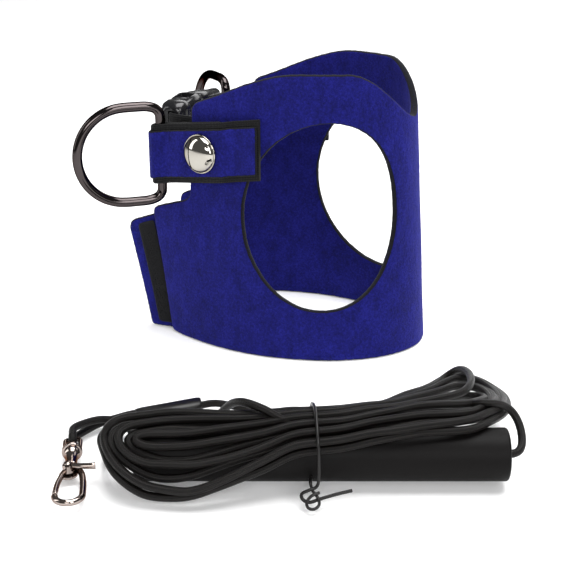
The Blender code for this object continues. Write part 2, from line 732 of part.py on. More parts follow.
def hank_line(front, crown, back, share):
    """Quadratic curve over the grip from the hank's front edge to its back edge."""
    a = Vector(front) * (1.0 - share) ** 2
    b = Vector(crown) * 2.0 * share * (1.0 - share)
    c = Vector(back) * share ** 2
    return a + b + c


# x, then (y, z) of the front edge, the crown that bends the hank over the grip, and the back edge
HANK_STATIONS = (
    (-0.0508, (-0.1150, 0.0090), (-0.1100, 0.0135), (-0.1050, 0.0115)),
    (-0.0468, (-0.1245, 0.0026), (-0.1195, 0.0245), (-0.1035, 0.0140)),
    (-0.0380, (-0.1280, 0.0024), (-0.1210, 0.0240), (-0.1050, 0.0150)),
    (-0.0260, (-0.1290, 0.0024), (-0.1215, 0.0245), (-0.1050, 0.0155)),
    (-0.0120, (-0.1260, 0.0070), (-0.1200, 0.0240), (-0.1050, 0.0155)),
    (0.0000, (-0.1238, 0.0125), (-0.1160, 0.0236), (-0.1040, 0.0140)),
    (0.0100, (-0.1230, 0.0135), (-0.1150, 0.0236), (-0.1035, 0.0138)),
    (0.0220, (-0.1215, 0.0155), (-0.1100, 0.0230), (-0.0920, 0.0100)),
    (0.0360, (-0.1190, 0.0172), (-0.1060, 0.0222), (-0.0720, 0.0055)),
    (0.0450, (-0.1165, 0.0176), (-0.1035, 0.0204), (-0.0560, 0.0026)),
    (0.0510, (-0.1110, 0.0168), (-0.0980, 0.0158), (-0.0480, 0.0024)),
    (0.0560, (-0.1020, 0.0130), (-0.0880, 0.0100), (-0.0570, 0.0024)),
)


def build_hank(look, parent):
    """The wound cord as one closed shape: it lies over the grip and spreads at both ends."""
    sections = []
    across = 10
    for x, front, crown, back in HANK_STATIONS:
        line = [hank_line(front, crown, back, step / across) for step in range(across + 1)]
        outline = ribbon_outline(line, HANK_THICKNESS)
        sections.append([(x, point.x, point.y) for point in outline])
    return lofted("lead_hank", sections, look, parent)


def hook_space():
    return Matrix.Translation((*HOOK_PLACE, HOOK_Z)) @ Matrix.Rotation(HOOK_TURN, 4, "Z")


def hook_place(x, y, z=0.0):
    """A point in the hook's space: x to the right of its middle line, y back towards the cord."""
    return hook_space() @ Vector((x, y, z))


# lengths along the hook, from the yoke's cross bar towards the tip
YOKE_BASE_Y = -0.0062
YOKE_BASE = 0.0013
YOKE_WIRE = 0.0006
COLLAR_Y = YOKE_BASE_Y - YOKE_BASE - GAP
SHANK_Y = -0.0155
GATE_PIVOT = (-0.0006, -0.0175)
BOW_Y = -0.0305
STEM_RADIUS = 0.0007
PIN_RADIUS = 0.0005
HUB_RADIUS = 0.0014
LUG_LOW = -0.0016
LUG_HIGH = -0.0008
LEVER_LOW = 0.0011
LEVER_HIGH = 0.0018


def join_tube(body, wire):
    """Join a bent round wire to a solid, so that both are one body."""
    evaluated = wire.evaluated_get(bpy.context.evaluated_depsgraph_get())
    mesh = bpy.data.meshes.new_from_object(evaluated)
    helper = bpy.data.objects.new(wire.name + "_mesh", mesh)
    bpy.context.scene.collection.objects.link(helper)
    helper.parent = wire.parent
    helper.location = wire.location
    bpy.data.objects.remove(wire, do_unlink=True)
    boolean(body, helper, "UNION")


def upright(name, x, y, profile, look, parent, steps=20, location=None):
    """A turned piece that stands on the hook's plane; profile heights are from the hook's middle plane."""
    return turned(name, profile, look, parent, hook_place(x, y), (0.0, 0.0, 1.0), steps, location)


def build_yoke(look, parent):
    """The bent wire that the cord goes round, on a washer that the rivet turns in."""
    axis = hook_space().to_3x3() @ Vector((0.0, 1.0, 0.0))
    hole = STEM_RADIUS + RUNNING
    rim = YOKE_WIDTH / 2.0
    washer = [(hole, YOKE_BASE_Y - YOKE_BASE), (rim - 0.0002, YOKE_BASE_Y - YOKE_BASE),
              (rim, YOKE_BASE_Y - YOKE_BASE + 0.0002), (rim, YOKE_BASE_Y - 0.0002),
              (rim - 0.0002, YOKE_BASE_Y), (hole, YOKE_BASE_Y)]
    yoke = turned("swivel_yoke", washer, look, parent, hook_space().translation, axis, steps=28)
    wire = YOKE_WIRE
    arm = rim - wire - 0.0001
    bend = 0.0010
    outline = [(-arm, YOKE_BASE_Y - 0.0004), (-arm, -bend)]
    outline += arc((-arm + bend, -bend), bend, 180.0, 90.0, 4)[1:]
    outline += arc((arm - bend, -bend), bend, 90.0, 0.0, 4)
    outline += [(arm, YOKE_BASE_Y - 0.0004)]
    join_tube(yoke, tube("yoke_wire", [hook_place(x, y) for x, y in outline], wire, look, parent, sides=2))


def build_rivet(look, parent):
    """Holds the hook in the yoke's washer and lets it turn."""
    axis = hook_space().to_3x3() @ Vector((0.0, 1.0, 0.0))
    head = 0.0013
    low = COLLAR_Y - 0.0018
    seat = YOKE_BASE_Y + GAP
    profile = [(0.0, low), (STEM_RADIUS, low), (STEM_RADIUS, seat), (head, seat), (head, seat + 0.0007),
               (head * 0.7, seat + 0.0012), (0.0, seat + 0.0013)]
    turned("swivel_rivet", profile, look, parent, hook_space().translation, axis, steps=20)


def build_hook_body(look, parent):
    """Collar, tapered shank, gate lug and the open bow."""
    axis = hook_space().to_3x3() @ Vector((0.0, 1.0, 0.0))
    half = HOOK_WIDTH / 2.0
    collar = 0.0022
    bore = STEM_RADIUS + GAP
    shank = [(bore, COLLAR_Y), (collar, COLLAR_Y), (collar, COLLAR_Y - 0.0013), (0.0016, COLLAR_Y - 0.0019),
             (0.0017, SHANK_Y), (0.0, SHANK_Y - 0.0004), (0.0, COLLAR_Y - 0.0022), (bore, COLLAR_Y - 0.0022)]
    body = turned("hook_body", shank[::-1], look, parent, hook_space().translation, axis, steps=24,
                  location=hook_space().translation)
    hole = PIN_RADIUS + GAP
    lug = upright("lug_helper", *GATE_PIVOT, [(hole, LUG_LOW), (0.0024, LUG_LOW), (0.0024, LUG_HIGH),
                                              (hole, LUG_HIGH)], look, parent)
    boolean(body, lug, "UNION")
    wire = HOOK_WIRE / 2.0
    bow = [(0.0006, SHANK_Y + 0.0014), (0.0018, SHANK_Y - 0.0010), (half * 0.70, GATE_PIVOT[1] - 0.0026),
           (half * 0.80, BOW_Y + 0.0052)]
    bow += [(x, BOW_Y + (y - BOW_Y) * 1.1) for x, y in arc((0.0, BOW_Y), half - wire, 0.0, -178.0, 12)]
    route = smooth_route([(x, y, 0.0) for x, y in bow], 0.0009)
    join_tube(body, tube("hook_bow", [hook_place(p.x, p.y) for p in route], wire, look, parent, sides=3))


def build_gate(look, parent):
    """The gate turns on its pin: a bar that shuts the bow and a lever for the thumb."""
    half = HOOK_WIDTH / 2.0
    pivot = hook_place(*GATE_PIVOT)
    hole = PIN_RADIUS + RUNNING
    low = LUG_HIGH + GAP
    gate = upright("hook_gate", *GATE_PIVOT, [(hole, low), (HUB_RADIUS, low), (HUB_RADIUS, LEVER_HIGH),
                                              (hole, LEVER_HIGH)], look, parent, 24, pivot)
    wire = HOOK_WIRE * 0.42
    nose_x = -half + HOOK_WIRE / 2.0
    bar = [(GATE_PIVOT[0] - HUB_RADIUS * 0.75, GATE_PIVOT[1] - HUB_RADIUS * 0.55),
           (nose_x * 0.86, (GATE_PIVOT[1] + BOW_Y) / 2.0), (nose_x, BOW_Y + wire + GAP + 0.0003)]
    route = smooth_route([(x, y, 0.0) for x, y in bar], 0.0009)
    join_tube(gate, tube("gate_bar", [hook_place(p.x, p.y) for p in route], wire, look, parent, sides=2))
    tip = half + 0.0022
    outline = [(GATE_PIVOT[0] + HUB_RADIUS * 0.7, GATE_PIVOT[1] - 0.0008), (tip - 0.0008, GATE_PIVOT[1] - 0.0021),
               (tip, GATE_PIVOT[1] - 0.0016), (tip, GATE_PIVOT[1] - 0.0002), (tip - 0.0008, GATE_PIVOT[1] + 0.0003),
               (GATE_PIVOT[0] + HUB_RADIUS * 0.7, GATE_PIVOT[1] + 0.0008)]
    lever = extruded("lever_helper", outline, LEVER_LOW, LEVER_HIGH, look, parent, place=hook_space())
    boolean(gate, lever, "UNION")
    pin = [(0.0, LUG_LOW), (PIN_RADIUS, LUG_LOW), (PIN_RADIUS, LEVER_HIGH + GAP), (0.0010, LEVER_HIGH + GAP),
           (0.0010, LEVER_HIGH + 0.0005), (0.0006, LEVER_HIGH + 0.0008), (0.0, LEVER_HIGH + 0.0009)]
    upright("gate_pin", *GATE_PIVOT, pin, look, parent)


# the two ferrules: (left end, right end) of each middle line
HOOK_FERRULE = ((-0.0450, -0.0800, 0.0030), (-0.0272, -0.0722, 0.0030))
GRIP_FERRULE = ((-0.0465, -0.0885, 0.0030), (-0.0320, -0.0872, 0.0030))
FERRULE_WALL = 0.0005


def build_ferrule(name, ends, look, parent):
    """A shrunk oval sleeve, open at both ends, round two runs of the cord."""
    left = Vector(ends[0])
    right = Vector(ends[1])
    along = (right - left).normalized()
    across = Vector((-along.y, along.x, 0.0))
    tall = CORD_DIAMETER / 2.0 + 0.0002
    wide = CORD_DIAMETER + 0.0003
    sections = []
    for place, grow in ((left, 0.0), (left + along * 0.0006, FERRULE_WALL), (right - along * 0.0006, FERRULE_WALL),
                        (right, 0.0)):
        section = []
        for step in range(20):
            angle = 2.0 * math.pi * step / 20.0
            flat = across * (wide + 0.0002 + grow) * math.cos(angle)
            section.append(place + flat + Vector((0.0, 0.0, (tall + 0.0002 + grow) * math.sin(angle))))
        sections.append(section)
    sleeve = lofted(name, sections, look, parent)
    bore = []
    for place in (left - along * 0.001, right + along * 0.001):
        bore.append([place + across * wide * math.cos(2.0 * math.pi * step / 20.0)
                     + Vector((0.0, 0.0, tall * math.sin(2.0 * math.pi * step / 20.0))) for step in range(20)])
    boolean(sleeve, lofted(name + "_bore", bore, look, parent))


def cord_run(name, knots, look, parent):
    tube(name, smooth_route(knots, CORD_DIAMETER * 2.2), CORD_DIAMETER / 2.0, look, parent, knots[0], sides=2)


def build_cord(looks, parent):
    """The cord's free runs, the wound hank, the two ferrules and the twisted tie."""
    build_ferrule("hook_ferrule", HOOK_FERRULE, looks["sleeve"], parent)
    build_ferrule("grip_ferrule", GRIP_FERRULE, looks["sleeve"], parent)
    build_hank(looks["cord"], parent)
    radius = CORD_DIAMETER / 2.0
    left, right = (Vector(end) for end in HOOK_FERRULE)
    along = (right - left).normalized()
    across = Vector((-along.y, along.x, 0.0)) * (radius + GAP / 3.0)
    bend = YOKE_WIRE + GAP + radius
    loop = [left - along * GAP - across, left - along * 0.005 - across * 1.1,
            left - along * 0.0115 - across * 0.8 + Vector((0.0, 0.0, 0.0012)), hook_place(0.0006, 0.0038, 0.0019)]
    for step in range(7):
        angle = math.radians(90.0 - 30.0 * step)
        loop.append(hook_place(0.0, -YOKE_WIRE - bend * math.cos(angle), bend * math.sin(angle)))
    loop += [hook_place(-0.0004, 0.0038, -0.0018), left - along * 0.0115 + across * 0.8 - Vector((0.0, 0.0, 0.0012)),
             left - along * 0.005 + across * 1.1 - Vector((0.0, 0.0, 0.0004)), left - along * GAP + across]
    tube("cord_hook_loop", smooth_route(loop, CORD_DIAMETER), radius, looks["cord"], parent, loop[0], sides=2)
    start = right + along * GAP - across
    cord_run("cord_to_hank", [start, start + along * 0.004, (-0.0120, -0.0745, 0.0018), (0.0000, -0.0800, 0.0020),
                              (0.0100, -0.0840, 0.0040), (0.0215, -0.0880, 0.0075)], looks["cord"], parent)
    edge = Vector(HANK_STATIONS[5][3])
    leaving = (edge - Vector(HANK_STATIONS[5][2])).normalized()
    last = edge + leaving * GAP * 2.0
    before = edge + leaving * 0.004
    left, right = (Vector(end) for end in GRIP_FERRULE)
    along = (right - left).normalized()
    start = right + along * GAP
    cord_run("cord_ferrule_to_hank", [start, start + along * 0.004, (-0.0180, -0.0905, 0.0022),
                                      (-0.0080, -0.0965, 0.0040), (-0.0015, before.x, before.y),
                                      (0.0, last.x, last.y)], looks["cord"], parent)
    inside = 0.002
    cord_run("cord_grip_left", [(GRIP_FROM + inside, GRIP_Y, GRIP_Z), (-0.0432, GRIP_Y, GRIP_Z),
                                (-0.0480, -0.1110, 0.0060), (-0.0502, -0.1050, 0.0034),
                                (-0.0508, -0.0985, 0.0026), (-0.0520, -0.0925, 0.0028),
                                (-0.0498, -0.0887, 0.0030), left - along * GAP], looks["cord"], parent)
    end = GRIP_FROM + GRIP_LENGTH
    tip = HANK_STATIONS[-1][0] + GAP * 3.0
    cord_run("cord_grip_right", [(end - inside, GRIP_Y, GRIP_Z), (end + 0.0018, GRIP_Y, GRIP_Z),
                                 (0.0582, -0.1130, 0.0086), (0.0594, -0.1090, 0.0092),
                                 (0.0596, -0.1030, 0.0100), (0.0586, -0.0985, 0.0104),
                                 (tip, -0.0966, 0.0104)], looks["cord"], parent)


TIE_X = 0.0050


def build_tie(look, parent):
    """Plastic-covered wire twisted once round the hank and the grip, its ends lying in front."""
    half = TIE_WIRE / 2.0
    low = half + 0.00015
    station = HANK_STATIONS[5:7]
    share = (TIE_X - station[0][0]) / (station[1][0] - station[0][0])
    front, crown, back = (Vector(a).lerp(Vector(b), share) for a, b in zip(station[0][1:], station[1][1:]))
    over = HANK_THICKNESS / 2.0 + half + GAP
    count = 8
    loop = []
    for step in range(count + 1):
        here = hank_line(front, crown, back, step / count)
        ahead = hank_line(front, crown, back, step / count + 0.01)
        along = (ahead - here).normalized()
        loop.append(here + Vector((-along.y, along.x)) * over)
    along = (back - crown).normalized()
    loop.append(back + along * over)
    below = GRIP_DIAMETER / 2.0 + GAP + half
    centre = Vector((GRIP_Y, GRIP_Z))
    for degrees in (-15.0, -45.0, -70.0, -90.0, -110.0, -135.0, -160.0):
        angle = math.radians(degrees)
        loop.append(centre + Vector((math.cos(angle), math.sin(angle))) * below)
    count = len(loop) - 1
    route = [(TIE_X + 0.0010 - 0.0020 * index / count, point.x, max(point.y, low)) for index, point in enumerate(loop)]
    first = [(TIE_X + 0.0090, -0.1262, low), (TIE_X + 0.0040, -0.1266, low), (TIE_X + 0.0008, -0.1262, 0.0018),
             (TIE_X + 0.0010, -0.1257, 0.0070)]
    last = [(TIE_X - 0.0012, -0.1236, 0.0050), (TIE_X - 0.0014, -0.1246, 0.0016), (TIE_X - 0.0040, -0.1262, low)]
    tube("twist_tie", smooth_route(first + route + last, TIE_WIRE * 1.6), half, look, parent, first[0], sides=2)


def build_lead(looks, parent):
    build_grip(looks, parent)
    build_cord(looks, parent)
    build_tie(looks["plastic"], parent)
    build_yoke(looks["nickel"], parent)
    hook = empty("hook_frame", (0.0, 0.0, 0.0), 0.0, parent)
    build_rivet(looks["nickel"], hook)
    build_hook_body(looks["nickel"], hook)
    build_gate(looks["nickel"], hook)


# ---------------------------------------------------------------- build
def main():
    clear_scene()
    looks = {
        "suede": material("suede", (0.012, 0.012, 0.145), 0.92),
        "lining": material("lining", (0.011, 0.011, 0.12), 0.92),
        "webbing": material("webbing", (0.012, 0.012, 0.013), 0.75),
        "loop": material("loop", (0.016, 0.016, 0.018), 0.95),
        "hook_tape": material("hook_tape", (0.014, 0.014, 0.015), 0.8),
        "chrome": material("chrome", (0.86, 0.85, 0.80), 0.08, 1.0),
        "nickel": material("nickel", (0.42, 0.38, 0.36), 0.18, 1.0),
        "gunmetal": material("gunmetal", (0.16, 0.16, 0.17), 0.22, 1.0),
        "steel": material("steel", (0.45, 0.45, 0.46), 0.35, 1.0),
        "plastic": material("plastic", (0.012, 0.012, 0.013), 0.18),
        "rubber": material("rubber", (0.015, 0.015, 0.015), 0.6),
        "cord": material("cord", (0.016, 0.013, 0.012), 0.7),
        "sleeve": material("sleeve", (0.012, 0.012, 0.013), 0.35),
    }
    material("cutter", (1.0, 0.0, 0.0), 0.5)
    vest_frame = empty("vest_frame", (-HALF_LENGTH, 0.0, 0.0))
    build_vest(looks["suede"], vest_frame)
    for word, side in SIDES.items():
        build_flap(word, side, looks["lining"], vest_frame)
        build_tab(word, side, looks["webbing"], vest_frame)
        build_facing(word, side, looks["suede"], vest_frame)
        build_ring(word, side, looks["gunmetal"], vest_frame)
        build_snap(word, side, looks, vest_frame)
    build_fastener("near", SIDES["near"], "loop_strip", 1.0, looks["loop"], vest_frame)
    build_fastener("far", SIDES["far"], "hook_strip", -1.0, looks["hook_tape"], vest_frame)
    build_webbing("near", SIDES["near"], SOCKET_START + 0.0042, looks["webbing"], vest_frame)
    build_webbing("far", SIDES["far"], PLUG_END - 0.0034, looks["webbing"], vest_frame)
    build_socket(looks["plastic"], vest_frame)
    build_plug(looks["plastic"], vest_frame)
    lead_frame = empty("lead_frame", (-HALF_LENGTH, 0.0, 0.0), math.radians(22.0))
    build_lead(looks, lead_frame)


main()
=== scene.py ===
"""The finished small-pet vest harness and its cord lead, in a pale studio."""
import math
import random

import bmesh
import bpy
import numpy as np
from mathutils import Matrix, Vector, noise
from mathutils.geometry import delaunay_2d_cdt


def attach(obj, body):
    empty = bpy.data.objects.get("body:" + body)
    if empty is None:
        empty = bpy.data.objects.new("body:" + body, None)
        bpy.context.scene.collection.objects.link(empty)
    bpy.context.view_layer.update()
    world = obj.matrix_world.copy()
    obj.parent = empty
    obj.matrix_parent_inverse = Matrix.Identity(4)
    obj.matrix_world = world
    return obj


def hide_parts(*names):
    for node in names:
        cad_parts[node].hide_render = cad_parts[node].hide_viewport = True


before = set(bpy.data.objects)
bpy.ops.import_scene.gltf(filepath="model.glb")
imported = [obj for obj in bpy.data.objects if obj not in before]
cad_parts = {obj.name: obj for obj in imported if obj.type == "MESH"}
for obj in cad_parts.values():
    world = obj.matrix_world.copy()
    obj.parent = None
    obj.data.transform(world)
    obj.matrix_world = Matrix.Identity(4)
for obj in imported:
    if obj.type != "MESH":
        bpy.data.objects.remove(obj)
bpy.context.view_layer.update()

# ---------------------------------------------------------------- sizes, as in the part
VEST_LENGTH = 0.090
VEST_WIDTH = 0.062
VEST_HEIGHT = 0.0915
CHEST_HEIGHT = 0.0765
CLOTH = 0.0024
NECK_TAPER = 0.12
CHEST_LEAN = 0.0056
CLOSURE_HEIGHT = 0.0435
CLOSURE_RISE = 0.0050
LEG_HOLE_WIDTH = 0.0545
LEG_HOLE_HEIGHT = 0.060
LEG_HOLE_CENTRE_Z = 0.0467
HOLE_STATIONS = {-1.0: 60.0, 1.0: 55.5}
FLAP_LENGTH = 0.0105
FLAP_CLOTH = 0.0016
FLAP_WIDENS = 0.25
FLAP_SLANT = 0.0045
FLAP_TUCK = 0.8
FASTENER_WIDTH = 0.0055
FASTENER_THICKNESS = 0.0012
FASTENER_INSET = 0.0016
STRAP_WIDTH = 0.0195
STRAP_THICKNESS = 0.0012
STRAP_CENTRE_Z = 0.0655
STRAP_SLOPE = 0.14
FACING_THICKNESS = 0.0007
FACING_MARGIN = 0.0020
RING_WIRE = 0.0032
RING_DEPTH = 0.0290
RING_SPLAY = math.radians(42.0)
SNAP_DIAMETER = 0.0125
SNAP_DOME = 0.0034
WEBBING_THICKNESS = 0.0014
CORD_DIAMETER = 0.0022
GRIP_LENGTH = 0.0960
GRIP_DIAMETER = 0.0138
GRIP_WALL = 0.0016
HANK_THICKNESS = 0.0040
YOKE_WIRE = 0.0006
TIE_WIRE = 0.0010
GAP = 0.0003
RUNNING = 0.00035
LEAN_ROOM = 0.0006
TAIL_START = 110.0
TAIL_STEP = 0.00078
HOLE_STEP = 0.0007
SEAT_STATION = 113.0
TAB_END_STATION = 88.5
CHEST_DIP_END = 49.0
NECK_END_STATION = 122.0
CLOSURE_STATION = 124.0
PANEL_END_STATION = 137.4
PANEL_FLARE = 7.6
BAR_STATION = 136.3
WEBBING_STATION = 122.0
BUCKLE_X = -0.0360
SOCKET_START = -0.0180
PLUG_END = 0.0158
SIDES = {"near": -1.0, "far": 1.0}
HALF_LENGTH = VEST_LENGTH / 2.0
HALF_WIDTH = VEST_WIDTH / 2.0
STRAP_LOW = STRAP_CENTRE_Z - STRAP_WIDTH / 2.0
STRAP_HIGH = STRAP_CENTRE_Z + STRAP_WIDTH / 2.0
FLAP_OUT = -CLOTH / 2.0 - LEAN_ROOM - FLAP_CLOTH / 2.0
RETURN_OUT = CLOTH / 2.0 + LEAN_ROOM + STRAP_THICKNESS / 2.0
COVER_OUT = RETURN_OUT + STRAP_THICKNESS + GAP
VEST_PLACE = Vector((-HALF_LENGTH, 0.0, 0.0))
LEAD_SPACE = Matrix.Translation(VEST_PLACE) @ Matrix.Rotation(math.radians(22.0), 4, "Z")
STATION_LENGTH = 0.00068     # average length of cloth per station


# ---------------------------------------------------------------- camera
CAMERA_TURN = math.radians(22.0)
CAMERA_TILT = math.radians(19.8)
CAMERA_DISTANCE = 0.385      # on the floor, from the vest
CAMERA_SHIFT = 0.0048
CAMERA_HEIGHT = 0.153
CAMERA_LENS = 74.75
CAMERA_FILM = 36.0


def set_camera():
    """Low three-quarter view from the near side, a little from the chest."""
    data = bpy.data.cameras.new("studio_camera")
    camera = bpy.data.objects.new("studio_camera", data)
    bpy.context.scene.collection.objects.link(camera)
    away_x = math.sin(CAMERA_TURN)
    away_y = -math.cos(CAMERA_TURN)
    back = Vector((away_x * math.cos(CAMERA_TILT), away_y * math.cos(CAMERA_TILT), math.sin(CAMERA_TILT)))
    camera.location = (VEST_PLACE.x + away_x * CAMERA_DISTANCE, away_y * CAMERA_DISTANCE - CAMERA_SHIFT,
                       CAMERA_HEIGHT)
    camera.rotation_mode = "QUATERNION"
    camera.rotation_quaternion = (-back).to_track_quat("-Z", "Y")
    data.lens = CAMERA_LENS
    data.sensor_width = CAMERA_FILM
    data.clip_start = 0.01
    bpy.context.scene.camera = camera


# ---------------------------------------------------------------- mesh helpers
def mesh_object(name, vertices, faces, looks, corners=None, indices=None):
    """A mesh at the origin with its normals outward; corners holds a (u, v) pair per face corner."""
    mesh = bpy.data.meshes.new(name)
    mesh.from_pydata([tuple(v) for v in vertices], [], faces)
    if corners is not None:
        layer = mesh.uv_layers.new(name="lay")
        layer.data.foreach_set("uv", np.asarray(corners, dtype=np.float32).ravel())
    if indices is not None:
        mesh.polygons.foreach_set("material_index", indices)
    mesh.validate()
    made = bpy.data.objects.new(name, mesh)
    bpy.context.scene.collection.objects.link(made)
    for look in looks if isinstance(looks, (list, tuple)) else [looks]:
        mesh.materials.append(look)
    builder = bmesh.new()
    builder.from_mesh(mesh)
    bmesh.ops.recalc_face_normals(builder, faces=builder.faces)
    if builder.calc_volume(signed=True) < 0.0:
        bmesh.ops.reverse_faces(builder, faces=builder.faces)
    builder.to_mesh(mesh)
    builder.free()
    mesh.shade_smooth()
    return made


def tube_mesh(name, points, radius, look, sides=14, cyclic=False, shape=None):
    """A round bar along points, with u along it and v round it, both in metres; shape(i, angle) scales it."""
    points = [Vector(p) for p in points]
    count = len(points)
    tangents = []
    for index in range(count):
        if cyclic:
            tangents.append((points[(index + 1) % count] - points[index - 1]).normalized())
        else:
            tangents.append((points[min(index + 1, count - 1)] - points[max(index - 1, 0)]).normalized())
    first = Vector((0.0, 0.0, 1.0))
    if abs(tangents[0].dot(first)) > 0.9:
        first = Vector((1.0, 0.0, 0.0))
    normal = (first - tangents[0] * first.dot(tangents[0])).normalized()
    normals = []
    for index in range(count):
        if index > 0:
            normal = tangents[index - 1].rotation_difference(tangents[index]) @ normal
            normal = (normal - tangents[index] * normal.dot(tangents[index])).normalized()
        normals.append(normal.copy())
    twist = 0.0
    if cyclic:
        closing = tangents[-1].rotation_difference(tangents[0]) @ normals[-1]
        side = tangents[0].cross(normals[0])
        twist = -math.atan2(closing.dot(side), closing.dot(normals[0]))
    vertices = []
    for index in range(count):
        side = tangents[index].cross(normals[index])
        for step in range(sides):
            angle = 2.0 * math.pi * step / sides + twist * index / count
            size = radius * (1.0 if shape is None else shape(index, angle))
            spoke = normals[index] * math.cos(angle) + side * math.sin(angle)
            vertices.append(points[index] + spoke * size)
    travelled = [0.0]
    for index in range(1, count):
        travelled.append(travelled[-1] + (points[index] - points[index - 1]).length)
    if cyclic:
        travelled.append(travelled[-1] + (points[0] - points[-1]).length)
    faces = []
    corners = []
    girth = 2.0 * math.pi * radius
    for index in range(count if cyclic else count - 1):
        low = index * sides
        high = ((index + 1) % count) * sides
        for step in range(sides):
            after = (step + 1) % sides
            faces.append((low + step, low + after, high + after, high + step))
            v0 = girth * step / sides
            v1 = girth * (step + 1) / sides
            corners += [(travelled[index], v0), (travelled[index], v1), (travelled[index + 1], v1),
                        (travelled[index + 1], v0)]
    if not cyclic:
        for base, u in ((0, travelled[0]), ((count - 1) * sides, travelled[-1])):
            faces.append(tuple(base + step for step in range(sides)))
            corners += [(u, girth * step / sides) for step in range(sides)]
    return mesh_object(name, vertices, faces, look, corners)


def lathe_mesh(name, profile, look, origin, axis, steps=64):
    """A turned piece; profile is (radius, height) from one end to the other."""
    turn = Vector((0.0, 0.0, 1.0)).rotation_difference(Vector(axis).normalized()).to_matrix()
    vertices = []
    for radius, height in profile:
        for step in range(steps):
            angle = 2.0 * math.pi * step / steps
            spot = Vector((radius * math.cos(angle), radius * math.sin(angle), height))
            vertices.append(Vector(origin) + turn @ spot)
    faces = []
    corners = []
    for ring in range(len(profile) - 1):
        for step in range(steps):
            after = (step + 1) % steps
            faces.append((ring * steps + step, ring * steps + after, (ring + 1) * steps + after,
                          (ring + 1) * steps + step))
            corners += [(step / steps, profile[ring][0]), ((step + 1) / steps, profile[ring][0]),
                        ((step + 1) / steps, profile[ring + 1][0]), (step / steps, profile[ring + 1][0])]
    made = mesh_object(name, vertices, faces, look, corners)
    builder = bmesh.new()
    builder.from_mesh(made.data)
    bmesh.ops.remove_doubles(builder, verts=builder.verts, dist=1e-7)
    bmesh.ops.recalc_face_normals(builder, faces=builder.faces)
    builder.to_mesh(made.data)
    builder.free()
    made.data.shade_smooth()
    made.data.set_sharp_from_angle(angle=math.radians(40.0))
    return made


def resampled(points, spacing, closed=False):
    """Evenly spaced points along a polyline."""
    points = [Vector(p) for p in points]
    if closed:
        points.append(points[0].copy())
    lengths = [0.0]
    for a, b in zip(points, points[1:]):
        lengths.append(lengths[-1] + (b - a).length)
    count = max(3, round(lengths[-1] / spacing))
    result = []
    index = 0
    for step in range(count if closed else count + 1):
        wanted = lengths[-1] * step / count
        while index < len(points) - 2 and lengths[index + 1] < wanted:
            index += 1
        span = max(lengths[index + 1] - lengths[index], 1e-12)
        result.append(points[index].lerp(points[index + 1], min(1.0, (wanted - lengths[index]) / span)))
    return result


def smooth_route(knots, spacing):
    """Evenly spaced points on a smooth curve through the knots."""
    knots = [Vector(knot) for knot in knots]
    dense = []
    for index in range(len(knots) - 1):
        start = knots[index]
        end = knots[index + 1]
        before = knots[index - 1] if index > 0 else start * 2.0 - end
        after = knots[index + 2] if index + 2 < len(knots) else end * 2.0 - start
        for step in range(16):
            t = step / 16.0
            first = (end - before) * 0.5
            last = (after - start) * 0.5
            rise = start - end
            dense.append(start + first * t - (rise * 3.0 + first * 2.0 + last) * t ** 2
                         + (rise * 2.0 + first + last) * t ** 3)
    dense.append(knots[-1])
    return resampled(dense, spacing)


def relaxed(points, rounds, closed=True):
    """Soften the corners of a line."""
    points = [p.copy() for p in points]
    count = len(points)
    for _ in range(rounds):
        if closed:
            points = [points[i] * 0.5 + (points[i - 1] + points[(i + 1) % count]) * 0.25
                      for i in range(count)]
        else:
            points = [points[0]] + [points[i] * 0.5 + (points[i - 1] + points[i + 1]) * 0.25
                                    for i in range(1, count - 1)] + [points[-1]]
    return points


# ---------------------------------------------------------------- the vest's wall
def blend_step(edge_low, edge_high, value):
    """An even rise from 0 to 1 between two edges."""
    t = min(1.0, max(0.0, (value - edge_low) / (edge_high - edge_low)))
    return t * t * (3.0 - 2.0 * t)


def wall(side, station, z, out):
    """A point out from the middle of the cloth, in the vest's own plan."""
    angle = math.radians(min(station, TAIL_START))
    width = HALF_WIDTH * (1.0 - NECK_TAPER * z / VEST_HEIGHT)
    length = HALF_LENGTH - CHEST_LEAN * z / VEST_HEIGHT if station < 90.0 else HALF_LENGTH
    place = Vector((length * math.cos(angle), width * math.sin(angle)))
    along = Vector((-length * math.sin(angle), width * math.cos(angle))).normalized()
    tail = max(0.0, station - TAIL_START) * TAIL_STEP
    if tail > 0.0:
        heading = math.atan2(along.y, along.x)
        turn = max(0.0, 1.0 - z / CLOSURE_HEIGHT) / 0.085
        middle = heading + turn * tail / 2.0
        chord = tail if turn < 1e-9 else 2.0 * math.sin(turn * tail / 2.0) / turn
        place += Vector((math.cos(middle), math.sin(middle))) * chord
        along = Vector((math.cos(heading + turn * tail), math.sin(heading + turn * tail)))
    place += Vector((along.y, -along.x)) * out
    return Vector((place.x, side * place.y, z))


def collar(station):
    """Height of the vest's top edge at a station."""
    rise = VEST_HEIGHT - CHEST_HEIGHT
    chest = CHEST_HEIGHT + rise * blend_step(0.0, CHEST_DIP_END, station)
    fall = rise * 0.86 * blend_step(70.0, NECK_END_STATION + 12.0, station) ** 1.2
    drop = blend_step(NECK_END_STATION, CLOSURE_STATION, station)
    slant = 1.0 - max(0.0, station - CLOSURE_STATION) / (PANEL_END_STATION - CLOSURE_STATION)
    return (chest - fall) * (1.0 - drop) + (CLOSURE_HEIGHT + CLOSURE_RISE * slant) * drop


def flared(station, z):
    """The closing edge slants: its stations spread out towards the top."""
    share = max(0.0, station - CLOSURE_STATION) / (PANEL_END_STATION - CLOSURE_STATION)
    return station + PANEL_FLARE * share * min(1.0, z / CLOSURE_HEIGHT)


